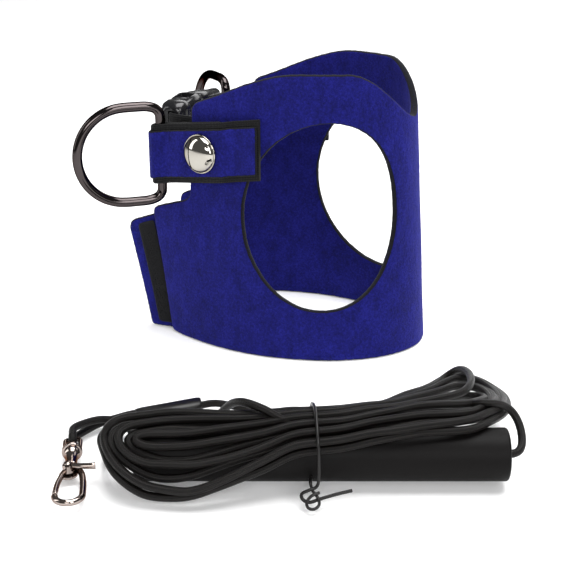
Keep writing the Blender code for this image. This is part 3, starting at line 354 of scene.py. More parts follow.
def vest_place(u, v, out):
    """Lay the flat pattern on the vest: u is the length from the middle of the chest, v the height."""
    station = abs(u) / STATION_LENGTH
    side = -1.0 if u >= 0.0 else 1.0
    ripple = 0.00016 * noise.noise(Vector((u * 90.0, v * 70.0, 3.0)))
    ripple += 0.00005 * noise.noise(Vector((u * 900.0, v * 900.0, 8.0)))
    return wall(side, flared(station, v), v, out + ripple) + VEST_PLACE


def leg_hole_outline(side, count=120):
    """An upright oval, narrower below, as (station, height)."""
    points = []
    for step in range(count):
        angle = 2.0 * math.pi * step / count
        down = 0.5 - 0.5 * math.sin(angle)
        reach = LEG_HOLE_WIDTH / 2.0 * (1.0 - 0.10 * down)
        station = HOLE_STATIONS[side] + (reach * math.cos(angle) - 0.0016 * math.sin(angle)) / HOLE_STEP
        points.append((station, LEG_HOLE_CENTRE_Z + LEG_HOLE_HEIGHT / 2.0 * math.sin(angle)))
    return points


# ---------------------------------------------------------------- cut cloth
def inside(points, loop):
    """Which of the points are inside a closed loop."""
    x, y = points[:, 0], points[:, 1]
    hit = np.zeros(len(points), dtype=bool)
    for (x0, y0), (x1, y1) in zip(loop, np.roll(loop, -1, axis=0)):
        if y0 == y1:
            continue
        crosses = ((y0 > y) != (y1 > y)) & (x < (x1 - x0) * (y - y0) / (y1 - y0) + x0)
        hit ^= crosses
    return hit


def offset_loop(loop, distance):
    """Move a closed loop to its left by a distance."""
    ahead = np.roll(loop, -1, axis=0) - np.roll(loop, 1, axis=0)
    ahead /= np.linalg.norm(ahead, axis=1)[:, None]
    left = np.stack([-ahead[:, 1], ahead[:, 0]], axis=1)
    return loop + left * distance


def cut_cloth(name, outline, holes, spacing, place, half, looks, ragged=0.00006):
    """Cloth cut to a flat outline with holes, with rounded raw edges; looks are the face and the cut edge.
    outline runs anticlockwise, holes run clockwise; place(u, v, out) lays the pattern on the object."""
    rng = random.Random(len(name) * 7 + 3)
    loops = []
    for loop in [outline] + holes:
        even = relaxed(resampled([Vector(p) for p in loop], spacing, closed=True), 3)
        even = resampled(even, spacing, closed=True)
        loop = np.array([(p.x, p.y) for p in even])
        shift = np.array([(rng.uniform(-ragged, ragged), rng.uniform(-ragged, ragged)) for _ in loop])
        loops.append(loop + shift)
    steps = ((0.0, 0.0), (0.00014, 0.62), (0.00042, 0.93), (0.00085, 1.0))
    vertices = []
    faces = []
    indices = []
    inner_rings = []
    flat = []
    for loop in loops:
        count = len(loop)
        rings = []
        for level, (inset, thick) in enumerate(steps):
            line = offset_loop(loop, inset)
            ring = {}
            for sign in ((1.0,) if level == 0 else (1.0, -1.0)):
                ring[sign] = len(vertices)
                for u, v in line:
                    vertices.append(place(u, v, sign * half * thick))
                    flat.append((u, v))
            if level == 0:
                ring[-1.0] = ring[1.0]
            rings.append(ring)
        for sign in (1.0, -1.0):
            for level in range(len(steps) - 1):
                a, b = rings[level][sign], rings[level + 1][sign]
                for index in range(count):
                    after = (index + 1) % count
                    faces.append((a + index, a + after, b + after, b + index))
                    indices.append(1 if level < 2 else 0)
        inner_rings.append((offset_loop(loop, steps[-1][0]), rings[-1]))
    ring_points = np.concatenate([line for line, _ in inner_rings])
    low, high = ring_points.min(axis=0), ring_points.max(axis=0)
    grid = []
    row = 0
    y = low[1]
    while y < high[1]:
        x = low[0] + (spacing / 2.0 if row % 2 else 0.0)
        while x < high[0]:
            grid.append((x + rng.uniform(-0.12, 0.12) * spacing, y + rng.uniform(-0.12, 0.12) * spacing))
            x += spacing
        y += spacing * 0.866
        row += 1
    grid = np.array(grid)
    keep = inside(grid, inner_rings[0][0])
    for line, _ in inner_rings[1:]:
        keep &= ~inside(grid, line)
    grid = grid[keep]
    near = np.full(len(grid), 1.0)
    for start in range(0, len(ring_points), 200):
        part = ring_points[start:start + 200]
        gaps = np.linalg.norm(grid[:, None, :] - part[None, :, :], axis=2).min(axis=1)
        near = np.minimum(near, gaps)
    grid = grid[near > spacing * 0.6]
    points = [Vector(p) for p in ring_points] + [Vector(p) for p in grid]
    edges = []
    start = 0
    for line, _ in inner_rings:
        count = len(line)
        edges += [(start + i, start + (i + 1) % count) for i in range(count)]
        start += count
    made = delaunay_2d_cdt(points, edges, [], 1, 1e-8)
    spots = np.array([(p.x, p.y) for p in made[0]])
    triangles = list(made[2])
    centres = np.array([spots[list(face)].mean(axis=0) for face in triangles])
    keep = inside(centres, inner_rings[0][0])
    for line, _ in inner_rings[1:]:
        keep &= ~inside(centres, line)
    for sign in (1.0, -1.0):
        numbers = {}
        starts = []
        total = 0
        for line, ring in inner_rings:
            starts.append((total, total + len(line), ring[sign]))
            total += len(line)
        for number, origins in enumerate(made[3]):
            source = min(origins) if origins else None
            if source is not None and source < total:
                for first, last, base in starts:
                    if first <= source < last:
                        numbers[number] = base + source - first
            else:
                numbers[number] = len(vertices)
                vertices.append(place(spots[number][0], spots[number][1], sign * half))
                flat.append(tuple(spots[number]))
        for kept, face in zip(keep, triangles):
            if kept:
                faces.append(tuple(numbers[v] for v in face))
                indices.append(0)
    corners = [flat[v] for face in faces for v in face]
    return mesh_object(name, vertices, faces, looks, corners, indices)


def strip_mesh(name, path, thickness, low, high, look):
    """Flat strap along a plan path: u runs along it and v across it, in metres; its edges are rounded."""
    path = [Vector(p) for p in path]
    count = len(path)
    across = 14
    corner = thickness * 0.5
    section = []
    for step in range(across + 1):
        section.append((1.0, low + corner + (high - low - 2.0 * corner) * step / across))
    section += [(0.5, high - corner * 0.13), (-0.5, high - corner * 0.13)]
    for step in range(across + 1):
        section.append((-1.0, high - corner - (high - low - 2.0 * corner) * step / across))
    section += [(-0.5, low + corner * 0.13), (0.5, low + corner * 0.13)]
    size = len(section)
    vertices = []
    travelled = 0.0
    distances = []
    for index, point in enumerate(path):
        before = path[max(index - 1, 0)]
        after = path[min(index + 1, count - 1)]
        along = (after - before).normalized()
        normal = Vector((-along.y, along.x))
        if index > 0:
            travelled += (point - path[index - 1]).length
        distances.append(travelled)
        for side, z in section:
            shift = normal * side * thickness / 2.0
            vertices.append(Vector((point.x + shift.x, point.y + shift.y, z)) + VEST_PLACE)
    faces = []
    corners = []
    for index in range(count - 1):
        a, b = index * size, (index + 1) * size
        for step in range(size):
            after = (step + 1) % size
            faces.append((a + step, a + after, b + after, b + step))
            v0, v1 = section[step][1], section[after][1]
            corners += [(distances[index], v0), (distances[index], v1), (distances[index + 1], v1),
                        (distances[index + 1], v0)]
    for base, u in ((0, 0.0), ((count - 1) * size, travelled)):
        faces.append(tuple(base + step for step in range(size)))
        corners += [(u, section[step][1]) for step in range(size)]
    made = mesh_object(name, vertices, faces, look, corners)
    made.data.set_sharp_from_angle(angle=math.radians(60.0))
    return made


# ---------------------------------------------------------------- materials
class Shader:
    """A procedural material: a principled shader and the nodes in front of it."""

    def __init__(self, name):
        self.material = bpy.data.materials.new(name)
        self.material.use_nodes = True
        self.tree = self.material.node_tree
        self.surface = self.tree.nodes["Principled BSDF"]

    def node(self, kind, **settings):
        made = self.tree.nodes.new(kind)
        for name, value in settings.items():
            setattr(made, name, value)
        return made

    def link(self, source, target):
        self.tree.links.new(source, target)

    def set(self, **values):
        for name, value in values.items():
            self.surface.inputs[name.replace("_", " ")].default_value = value

    def place(self, scale=(1.0, 1.0, 1.0)):
        """Position on the object in metres, stretched."""
        spot = self.node("ShaderNodeTexCoord").outputs["Object"]
        return self.stretched(spot, scale)

    def lay(self, scale=(1.0, 1.0, 1.0)):
        """The piece's own unwrapped position in metres."""
        spot = self.node("ShaderNodeUVMap", uv_map="lay").outputs["UV"]
        return self.stretched(spot, scale)

    def stretched(self, spot, scale):
        mapping = self.node("ShaderNodeMapping")
        mapping.inputs["Scale"].default_value = scale
        self.link(spot, mapping.inputs["Vector"])
        return mapping.outputs["Vector"]

    def noise(self, spot, scale, detail=3.0, rough=0.55):
        made = self.node("ShaderNodeTexNoise")
        made.inputs["Scale"].default_value = scale
        made.inputs["Detail"].default_value = detail
        made.inputs["Roughness"].default_value = rough
        self.link(spot, made.inputs["Vector"])
        return made.outputs["Fac"]

    def wave(self, spot, scale, direction):
        made = self.node("ShaderNodeTexWave", bands_direction=direction)
        made.inputs["Scale"].default_value = scale
        self.link(spot, made.inputs["Vector"])
        return made.outputs["Fac"]

    def math(self, kind, a, b=0.0):
        made = self.node("ShaderNodeMath", operation=kind)
        for socket, value in zip(made.inputs, (a, b)):
            if isinstance(value, float):
                socket.default_value = value
            else:
                self.link(value, socket)
        return made.outputs[0]

    def ramp(self, value, stops):
        """Colour steps; stops are (place, colour)."""
        made = self.node("ShaderNodeValToRGB")
        bar = made.color_ramp
        while len(bar.elements) < len(stops):
            bar.elements.new(0.5)
        for element, (place, colour) in zip(bar.elements, stops):
            element.position = place
            element.color = (*colour, 1.0)
        self.link(value, made.inputs["Fac"])
        return made.outputs["Color"]

    def mix(self, share, a, b):
        made = self.node("ShaderNodeMix", data_type="RGBA")
        if isinstance(share, float):
            made.inputs[0].default_value = share
        else:
            self.link(share, made.inputs[0])
        for socket, value in ((made.inputs[6], a), (made.inputs[7], b)):
            if isinstance(value, tuple):
                socket.default_value = (*value, 1.0)
            else:
                self.link(value, socket)
        return made.outputs[2]

    def colour(self, value):
        self.link(value, self.surface.inputs["Base Color"])

    def roughness(self, value, low, high):
        made = self.node("ShaderNodeMapRange")
        made.inputs["To Min"].default_value = low
        made.inputs["To Max"].default_value = high
        self.link(value, made.inputs["Value"])
        self.link(made.outputs[0], self.surface.inputs["Roughness"])

    def bump(self, *heights):
        """heights are (value, depth in metres), the coarsest first."""
        before = None
        for value, depth in heights:
            made = self.node("ShaderNodeBump")
            made.inputs["Strength"].default_value = 1.0
            made.inputs["Distance"].default_value = depth
            self.link(value, made.inputs["Height"])
            if before is not None:
                self.link(before, made.inputs["Normal"])
            before = made.outputs["Normal"]
        self.link(before, self.surface.inputs["Normal"])


def suede(name, deep, mid, light):
    """Napped suede: fine fibres brushed up and down, with soft brushed patches."""
    s = Shader(name)
    spot = s.place()
    brushed = s.noise(s.place((1.0, 1.0, 0.6)), 260.0, 4.0)
    speckle = s.noise(spot, 1250.0, 5.0, 0.8)
    fibre = s.noise(s.place((1.0, 1.0, 0.32)), 2600.0, 3.0, 0.7)
    tone = s.math("ADD", s.math("MULTIPLY", brushed, 0.30), s.math("MULTIPLY", speckle, 0.70))
    s.colour(s.ramp(tone, [(0.36, deep), (0.50, mid), (0.66, light)]))
    s.set(Roughness=0.95, Specular_IOR_Level=0.12, Sheen_Weight=0.22, Sheen_Roughness=0.45)
    s.surface.inputs["Sheen Tint"].default_value = (0.20, 0.20, 0.95, 1.0)
    s.bump((brushed, 0.00030), (speckle, 0.00016), (fibre, 0.00010))
    return s.material


def cut_edge(name):
    """The black inner layer of the cloth where it is cut, with a little blue lint."""
    s = Shader(name)
    spot = s.place()
    lint = s.noise(spot, 2400.0, 4.0, 0.8)
    s.colour(s.ramp(lint, [(0.50, (0.0042, 0.0042, 0.0058)), (0.66, (0.009, 0.009, 0.018)),
                           (0.74, (0.02, 0.02, 0.10))]))
    s.set(Roughness=0.95, Specular_IOR_Level=0.15, Sheen_Weight=0.05)
    s.bump((lint, 0.00018))
    return s.material


def woven(name, colour, across=0.0011, along=0.0009):
    """Narrow woven tape: rows of picks along its length, crossed by warp ribs; its colour has painted shade
    in the hollows of the weave and painted highlight on the ribs.
    """
    s = Shader(name)
    lay = s.lay()
    warp = s.wave(lay, 0.5 / across, "Y")
    weft = s.wave(lay, 0.5 / along, "X")
    weave = s.math("MULTIPLY", warp, weft)
    grime = s.noise(s.place(), 900.0, 4.0)
    # painted shade and highlight: the tape's colour follows the weave's relief, darker in its hollows and
    # lighter on its ribs
    hollow_shade = tuple(c * 0.55 for c in colour)
    s.colour(s.mix(s.math("MULTIPLY", weave, 0.9), hollow_shade, tuple(c * 1.5 for c in colour)))
    s.set(Specular_IOR_Level=0.2, Sheen_Weight=0.02)
    s.roughness(grime, 0.62, 0.85)
    s.bump((weave, 0.00022), (grime, 0.00004))
    return s.material


def braid(name, colour):
    """Round braid over an elastic core: two sets of crossing strands, each of fine filaments; its colour has
    painted shade in the grooves between strands and painted highlight on their crowns and along the
    filaments.
    """
    s = Shader(name)
    girth = math.pi * CORD_DIAMETER
    pitch = 0.0052
    parts = s.node("ShaderNodeSeparateXYZ")
    s.link(s.lay((1.0 / pitch, 1.0 / girth, 1.0)), parts.inputs[0])
    u, v = parts.outputs[0], parts.outputs[1]
    carriers = 8.0
    first = s.math("MULTIPLY", s.math("ADD", u, v), carriers * math.pi)
    second = s.math("MULTIPLY", s.math("SUBTRACT", u, v), carriers * math.pi)
    one = s.math("ABSOLUTE", s.math("SINE", first))
    two = s.math("ABSOLUTE", s.math("SINE", second))
    over = s.math("GREATER_THAN", s.math("SINE", s.math("MULTIPLY", u, 2.0 * carriers * math.pi)), 0.0)
    strands = s.math("ADD", s.math("MULTIPLY", one, over),
                     s.math("MULTIPLY", two, s.math("SUBTRACT", 1.0, over)))
    filaments = s.noise(s.lay((900.0, 9000.0, 1.0)), 1.0, 2.0)
    # painted shade and highlight: the colour is dark in the grooves between strands and bright on their
    # crowns and along the filaments
    tone = s.math("MULTIPLY", strands, s.math("ADD", filaments, 0.35))
    s.colour(s.ramp(tone, [(0.10, tuple(c * 0.25 for c in colour)), (0.55, colour),
                           (0.90, tuple(min(1.0, c * 3.2) for c in colour))]))
    s.set(Specular_IOR_Level=0.16)
    s.roughness(filaments, 0.26, 0.50)
    s.bump((strands, 0.00012), (filaments, 0.00004))
    return s.material


def plated(name, colour, rough, wear=0.5, rim=(0.6, 0.6, 0.6)):
    """Polished plating with faint scratches and a dull bloom."""
    s = Shader(name)
    spot = s.place()
    scratches = s.noise(s.place((1.0, 5.0, 0.6)), 1500.0, 5.0, 0.8)
    bloom = s.noise(spot, 180.0, 3.0)
    s.set(Metallic=1.0)
    s.surface.inputs["Specular Tint"].default_value = (*rim, 1.0)
    s.colour(s.mix(s.math("MULTIPLY", bloom, 0.5), colour, tuple(c * 0.72 for c in colour)))
    s.roughness(s.math("MULTIPLY", scratches, bloom), rough * 0.7, rough * 1.9)
    s.bump((bloom, 0.00003 * wear), (scratches, 0.0000035 * wear))
    return s.material


def moulded(name, colour, low, high, grain=0.00001, grain_scale=1600.0, shine=0.4):
    """Moulded plastic or rubber: a fine tool grain, handling marks and dust."""
    s = Shader(name)
    spot = s.place()
    fine = s.noise(spot, grain_scale, 4.0, 0.7)
    marks = s.noise(s.place((1.0, 1.0, 2.5)), 130.0, 5.0, 0.7)
    dust = s.ramp(s.noise(spot, 3200.0, 2.0, 0.9), [(0.74, colour), (0.84, tuple(c + 0.012 for c in colour))])
    s.colour(s.mix(s.math("MULTIPLY", marks, 0.35), dust, tuple(c * 1.9 for c in colour)))
    s.set(Specular_IOR_Level=shine)
    s.roughness(marks, low, high)
    s.bump((marks, 0.00004), (fine, grain))
    return s.material


LOOKS = {
    "suede": suede("blue_suede", (0.0034, 0.0038, 0.044), (0.0062, 0.0070, 0.105), (0.0125, 0.0140, 0.190)),
    "lining": suede("blue_lining", (0.0036, 0.0040, 0.046), (0.0066, 0.0074, 0.108), (0.0125, 0.0140, 0.190)),
    "lint": suede("blue_lint", (0.0040, 0.0042, 0.055), (0.0090, 0.0100, 0.130), (0.020, 0.022, 0.240)),
    "edge": cut_edge("black_cut_edge"),
    "webbing": woven("black_webbing", (0.0034, 0.0034, 0.0042)),
    "braid": braid("black_braid", (0.0024, 0.0019, 0.0017)),
    "pile": moulded("black_loop_pile", (0.0045, 0.0045, 0.0055), 0.6, 0.85, 0.00004, 1600.0, 0.25),
    "hooks": moulded("black_hook_tape", (0.006, 0.006, 0.007), 0.45, 0.7, 0.00003),
    "chrome": plated("bright_chrome", (0.42, 0.40, 0.36), 0.05, 0.4, (0.30, 0.26, 0.22)),
    "nickel": plated("warm_nickel", (0.34, 0.29, 0.265), 0.09, 0.5, (0.25, 0.15, 0.12)),
    "gunmetal": plated("dark_nickel", (0.060, 0.051, 0.051), 0.08, 0.5, (0.15, 0.09, 0.07)),
    "steel": plated("plain_steel", (0.45, 0.45, 0.46), 0.30),
    "gloss": moulded("glossy_plastic", (0.0065, 0.0065, 0.0075), 0.10, 0.28),
    "satin": moulded("satin_plastic", (0.007, 0.007, 0.0075), 0.32, 0.55),
    "rubber": moulded("grip_rubber", (0.0026, 0.0022, 0.0022), 0.42, 0.58, 0.00003, 2600.0, 0.09),
    "sleeve": moulded("shrunk_sleeve", (0.0045, 0.004, 0.004), 0.24, 0.42, shine=0.28),
}


# ---------------------------------------------------------------- shared finishing
def finished(obj, body, slot, *nodes):
    """Let a piece ride with its body and stand in for the part's own nodes."""
    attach(obj, body)
    if nodes:
        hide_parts(*nodes)
    return obj


# ---------------------------------------------------------------- the vest
NAP_DENSITY = 4.0e5


def vest_outline():
    """The cloth's edge in the flat pattern, anticlockwise from the near closing edge's foot."""
    end = PANEL_END_STATION * STATION_LENGTH
    points = [Vector((-end, 0.0)), Vector((end, 0.0))]
    half = [PANEL_END_STATION - step * 0.4 for step in range(int(PANEL_END_STATION / 0.4) + 1)]
    points += [Vector((station * STATION_LENGTH, collar(station))) for station in half]
    points += [Vector((-station * STATION_LENGTH, collar(station))) for station in reversed(half[:-1])]
    return resampled(points, 0.0004, closed=True)


def hair_source(look):
    """One raised fibre of the nap: a thin bent hair."""
    points = [(0.0, 0.0, -0.00003), (0.00004, 0.0, 0.00017), (0.00017, 0.0, 0.00031)]
    return tube_mesh("nap_hair", points, 0.000026, look, sides=3)


def build_nap(cloth, name, body, slot, density):
    """Loose fibres standing off a cloth, thickest to see along its cut edges."""
    base = bpy.data.objects.new(name + "_ground", cloth.data.copy())
    bpy.context.scene.collection.objects.link(base)
    nap = scattered(name, base, hair_source(LOOKS["lint"]), density, 0.0006, 6.28, 11, LOOKS["lint"])
    return finished(nap, body, slot)


def build_vest():
    holes = []
    for side in (-1.0, 1.0):
        loop = [(-side * station * STATION_LENGTH, z) for station, z in leg_hole_outline(side)]
        area = sum(a[0] * b[1] - b[0] * a[1] for a, b in zip(loop, loop[1:] + loop[:1]))
        holes.append(loop if area < 0.0 else loop[::-1])
    vest = cut_cloth("vest_cloth", vest_outline(), holes, 0.00105, vest_place, CLOTH / 2.0,
                     [LOOKS["suede"], LOOKS["edge"]])
    finished(vest, "vest", "suede", "vest_shell")
    build_nap(vest, "vest_nap", "vest", "suede", NAP_DENSITY)


# ---------------------------------------------------------------- closing flaps
def flap_top(along):
    """Height of a flap's slanting top edge."""
    return CLOSURE_HEIGHT - 0.0025 - FLAP_SLANT * along / (FLAP_LENGTH + FLAP_TUCK * TAIL_STEP)


def flap_point(side, along, z, out):
    """A point of a flap: along it from its root, under the panel's edge, and out of its middle."""
    foot = wall(side, flared(PANEL_END_STATION, z) - FLAP_TUCK, z, FLAP_OUT)
    reach = along * (1.0 + FLAP_WIDENS * min(1.0, z / CLOSURE_HEIGHT))
    return foot + Vector((-1.0, side * 0.03, 0.0)).normalized() * reach \
        + Vector((0.03, side, 0.0)).normalized() * out + VEST_PLACE


def build_flap(word, side):
    length = FLAP_LENGTH + FLAP_TUCK * TAIL_STEP
    corner = 0.0028
    top = flap_top(length)
    outline = [(0.0, 0.0002), (length, 0.0002), (length, top - corner)]
    for step in range(1, 7):
        angle = math.radians(15.0 * step)
        outline.append((length - corner * (1.0 - math.cos(angle)),
                        top - corner * (1.0 - math.sin(angle)) + 0.0002 * step))
    outline.append((0.0, flap_top(0.0)))

    def place(u, v, out):
        ripple = 0.00006 * noise.noise(Vector((u * 500.0, v * 500.0, side * 5.0)))
        return flap_point(side, u, v, out + ripple)

    flap = cut_cloth(word + "_flap_cloth", outline, [], 0.0007, place, FLAP_CLOTH / 2.0,
                     [LOOKS["lining"], LOOKS["edge"]])
    finished(flap, word + "_flap", "lining", word + "_closing_flap")


def loop_source(look):
    """One curled loop of pile, a bent hair of five short sides."""
    points = []
    for step in range(6):
        angle = math.pi * (0.05 + 1.15 * step / 5.0)
        points.append((0.00022 * math.cos(angle), 0.00005 * step, 0.00034 * math.sin(angle)))
    return tube_mesh("pile_loop", points, 0.000035, look, sides=4)


def hook_source(look):
    """One moulded hook: a stem and its bent tip."""
    points = [(0.0, 0.0, -0.00004), (0.0, 0.0, 0.00034), (0.00008, 0.0, 0.00050), (0.00022, 0.0, 0.00052),
              (0.00028, 0.0, 0.00042)]
    return tube_mesh("tape_hook", points, 0.000055, look, sides=5)


def scatter_group():
    """Node tree that sets copies of a small shape on a surface; every size is an input of the tree."""
    tree = bpy.data.node_groups.new("small_shape_scatter", "GeometryNodeTree")
    face = tree.interface
    face.new_socket("Geometry", in_out="INPUT", socket_type="NodeSocketGeometry")
    shape = face.new_socket("Shape", in_out="INPUT", socket_type="NodeSocketObject")
    density = face.new_socket("Density", in_out="INPUT", socket_type="NodeSocketFloat")
    spread = face.new_socket("Spread", in_out="INPUT", socket_type="NodeSocketFloat")
    turn = face.new_socket("Turn", in_out="INPUT", socket_type="NodeSocketFloat")
    seed = face.new_socket("Seed", in_out="INPUT", socket_type="NodeSocketInt")
    look = face.new_socket("Look", in_out="INPUT", socket_type="NodeSocketMaterial")
    face.new_socket("Geometry", in_out="OUTPUT", socket_type="NodeSocketGeometry")
    add = tree.nodes.new
    start, end = add("NodeGroupInput"), add("NodeGroupOutput")
    points = add("GeometryNodeDistributePointsOnFaces")
    points.distribute_method = "POISSON"
    tree.links.new(start.outputs["Geometry"], points.inputs["Mesh"])
    tree.links.new(start.outputs["Density"], points.inputs["Density Max"])
    tree.links.new(start.outputs["Spread"], points.inputs["Distance Min"])
    tree.links.new(start.outputs["Seed"], points.inputs["Seed"])
    info = add("GeometryNodeObjectInfo")
    tree.links.new(start.outputs["Shape"], info.inputs["Object"])
    copies = add("GeometryNodeInstanceOnPoints")
    tree.links.new(points.outputs["Points"], copies.inputs["Points"])
    tree.links.new(info.outputs["Geometry"], copies.inputs["Instance"])
    tree.links.new(points.outputs["Rotation"], copies.inputs["Rotation"])
    wobble = add("FunctionNodeRandomValue")
    wobble.data_type = "FLOAT"
    tree.links.new(start.outputs["Turn"], wobble.inputs["Max"])
    tree.links.new(start.outputs["Seed"], wobble.inputs["Seed"])
    spin = add("ShaderNodeCombineXYZ")
    tree.links.new(wobble.outputs["Value"], spin.inputs["Z"])
    rotate = add("GeometryNodeRotateInstances")
    tree.links.new(copies.outputs["Instances"], rotate.inputs["Instances"])
    tree.links.new(spin.outputs["Vector"], rotate.inputs["Rotation"])
    real = add("GeometryNodeRealizeInstances")
    tree.links.new(rotate.outputs["Instances"], real.inputs["Geometry"])
    dress = add("GeometryNodeSetMaterial")
    tree.links.new(real.outputs["Geometry"], dress.inputs["Geometry"])
    tree.links.new(start.outputs["Look"], dress.inputs["Material"])
    tree.links.new(dress.outputs["Geometry"], end.inputs["Geometry"])
    keys = {item.name: item.identifier for item in (shape, density, spread, turn, seed, look)}
    return tree, keys


SCATTER, SCATTER_KEYS = scatter_group()


def scattered(name, base, source, density, spread, turn, seed, look):
    """Copies of source all over base, as one plain mesh; base and source are used up."""
    step = base.modifiers.new("scatter", "NODES")
    step.node_group = SCATTER
    for label, value in (("Shape", source), ("Density", density), ("Spread", spread), ("Turn", turn),
                         ("Seed", seed), ("Look", look)):
        step[SCATTER_KEYS[label]] = value
    evaluated = base.evaluated_get(bpy.context.evaluated_depsgraph_get())
    mesh = bpy.data.meshes.new_from_object(evaluated)
    mesh.name = name
    made = bpy.data.objects.new(name, mesh)
    bpy.context.scene.collection.objects.link(made)
    bpy.data.objects.remove(base, do_unlink=True)
    bpy.data.objects.remove(source, do_unlink=True)
    return made


def build_fastener(word, side, name, outward, look_name, source):
    """Sewn strip of loop pile or moulded hooks on one face of a flap."""
    start = FLAP_TUCK * TAIL_STEP + FASTENER_INSET
    low = 0.002
    base = FLAP_CLOTH / 2.0 + GAP * 0.2
    thickness = FASTENER_THICKNESS * 0.55
    end = start + FASTENER_WIDTH
    outline = [(start, low), (end, low), (end, flap_top(end) - 0.0018), (start, flap_top(start) - 0.0018)]

    def place(u, v, out):
        return flap_point(side, u, v, outward * (base + thickness / 2.0 + out))

    tape = cut_cloth(name + "_tape", outline, [], 0.0006, place, thickness / 2.0,
                     [LOOKS[look_name], LOOKS[look_name]], 0.00002)
    finished(tape, word + "_flap", "loop" if look_name == "pile" else "hook_tape", name)
    columns, rows = 6, 36
    vertices = []
    for row in range(rows + 1):
        for column in range(columns + 1):
            u = start + 0.0004 + (FASTENER_WIDTH - 0.0008) * column / columns
            v = low + 0.0004 + (flap_top(u) - 0.0026 - low) * row / rows
            vertices.append(flap_point(side, u, v, outward * (base + thickness)))
    faces = []
    for row in range(rows):
        for column in range(columns):
            a = row * (columns + 1) + column
            faces.append((a, a + 1, a + columns + 2, a + columns + 1))
    mesh = bpy.data.meshes.new(name + "_ground")
    mesh.from_pydata([tuple(v) for v in vertices], [], faces)
    mesh.update()
    if mesh.polygons[0].normal.y * side * outward < 0.0:
        mesh.flip_normals()
    ground = bpy.data.objects.new(name + "_ground", mesh)
    bpy.context.scene.collection.objects.link(ground)
    dense = look_name == "pile"
    nap = scattered(name + "_nap", ground, source(LOOKS[look_name]), 9.0e6 if dense else 4.0e6,
                    0.00020 if dense else 0.00045, 6.28 if dense else 0.6, 5, LOOKS[look_name])
    nap.data.shade_smooth()
    finished(nap, word + "_flap", "loop" if dense else "hook_tape")


# ---------------------------------------------------------------- ring tabs
def tab_point(side, station, out):
    """A point of the strap's plan."""
    return wall(side, station, STRAP_CENTRE_Z, out).xy


def ring_axis(side):
    """Where the ring's straight bar stands, in plan."""
    return tab_point(side, BAR_STATION, (RETURN_OUT + COVER_OUT) / 2.0)


def tab_path(side, extra):
    """Plan path of the strap: over the wall to the ring's bar and round it."""
    path = []
    for step in range(25):
        station = TAB_END_STATION + (SEAT_STATION - 8.0 - TAB_END_STATION) * step / 24.0
        share = blend_step(0.55, 1.0, step / 24.0)
        path.append(tab_point(side, station, RETURN_OUT + (COVER_OUT - RETURN_OUT) * share + extra))
    for step in range(1, 17):
        station = SEAT_STATION - 8.0 + (BAR_STATION - 5.0 - SEAT_STATION + 8.0) * step / 16.0
        path.append(tab_point(side, station, COVER_OUT + extra))
    centre = ring_axis(side)
    away = (tab_point(side, BAR_STATION, 0.01) - tab_point(side, BAR_STATION, 0.0)).normalized()
    back = (tab_point(side, BAR_STATION + 1.0, 0.0) - tab_point(side, BAR_STATION, 0.0)).normalized()
    radius = RING_WIRE / 2.0 + RUNNING + STRAP_THICKNESS / 2.0 + extra
    for step in range(25):
        angle = math.pi * step / 24.0
        path.append(centre + away * radius * math.cos(angle) + back * radius * math.sin(angle))
    return path


def sloped(made):
    """Let the strap fall towards the ring."""
    snap = tab_point(-1.0, SEAT_STATION, 0.0)
    for vertex in made.data.vertices:
        vertex.co.z += STRAP_SLOPE * (vertex.co.x - VEST_PLACE.x - snap.x)
    return made


def build_tab(word, side):
    path = tab_path(side, 0.0)
    for step in range(13):
        station = BAR_STATION - 5.0 - (BAR_STATION - 5.0 - SEAT_STATION + 7.0) * step / 12.0
        path.append(tab_point(side, station, RETURN_OUT))
    path = relaxed(path, 2, closed=False)
    strap = sloped(strip_mesh(word + "_strap_tape", path, STRAP_THICKNESS, STRAP_LOW, STRAP_HIGH,
                              LOOKS["webbing"]))
    finished(strap, "vest", "webbing", word + "_tab_strap")
    extra = STRAP_THICKNESS / 2.0 + GAP * 0.4 + FACING_THICKNESS / 2.0
    cover = resampled(tab_path(side, extra)[1:-9], 0.0006)
    lengths = [0.0]
    for a, b in zip(cover, cover[1:]):
        lengths.append(lengths[-1] + (b - a).length)
    low, high = STRAP_LOW + FACING_MARGIN, STRAP_HIGH - FACING_MARGIN
    outline = [(0.0001, low), (lengths[-1], low), (lengths[-1], high), (0.0001, high)]

    def place(u, v, out):
        u = min(max(u, 0.0), lengths[-1])
        index = min(int(u / lengths[1]), len(cover) - 2)
        share = (u - lengths[index]) / (lengths[index + 1] - lengths[index])
        point = cover[index].lerp(cover[index + 1], share)
        along = (cover[min(index + 2, len(cover) - 1)] - cover[max(index - 1, 0)]).normalized()
        normal = Vector((along.y, -along.x)) * side
        ripple = 0.00004 * noise.noise(Vector((u * 800.0, v * 800.0, side * 9.0)))
        point = point + normal * (out + ripple)
        return Vector((point.x, point.y, v)) + VEST_PLACE

    facing = sloped(cut_cloth(word + "_suede_facing", outline, [], 0.0006, place, FACING_THICKNESS / 2.0,
                              [LOOKS["suede"], LOOKS["edge"]], 0.0001))
    finished(facing, "vest", "suede", word + "_tab_facing")


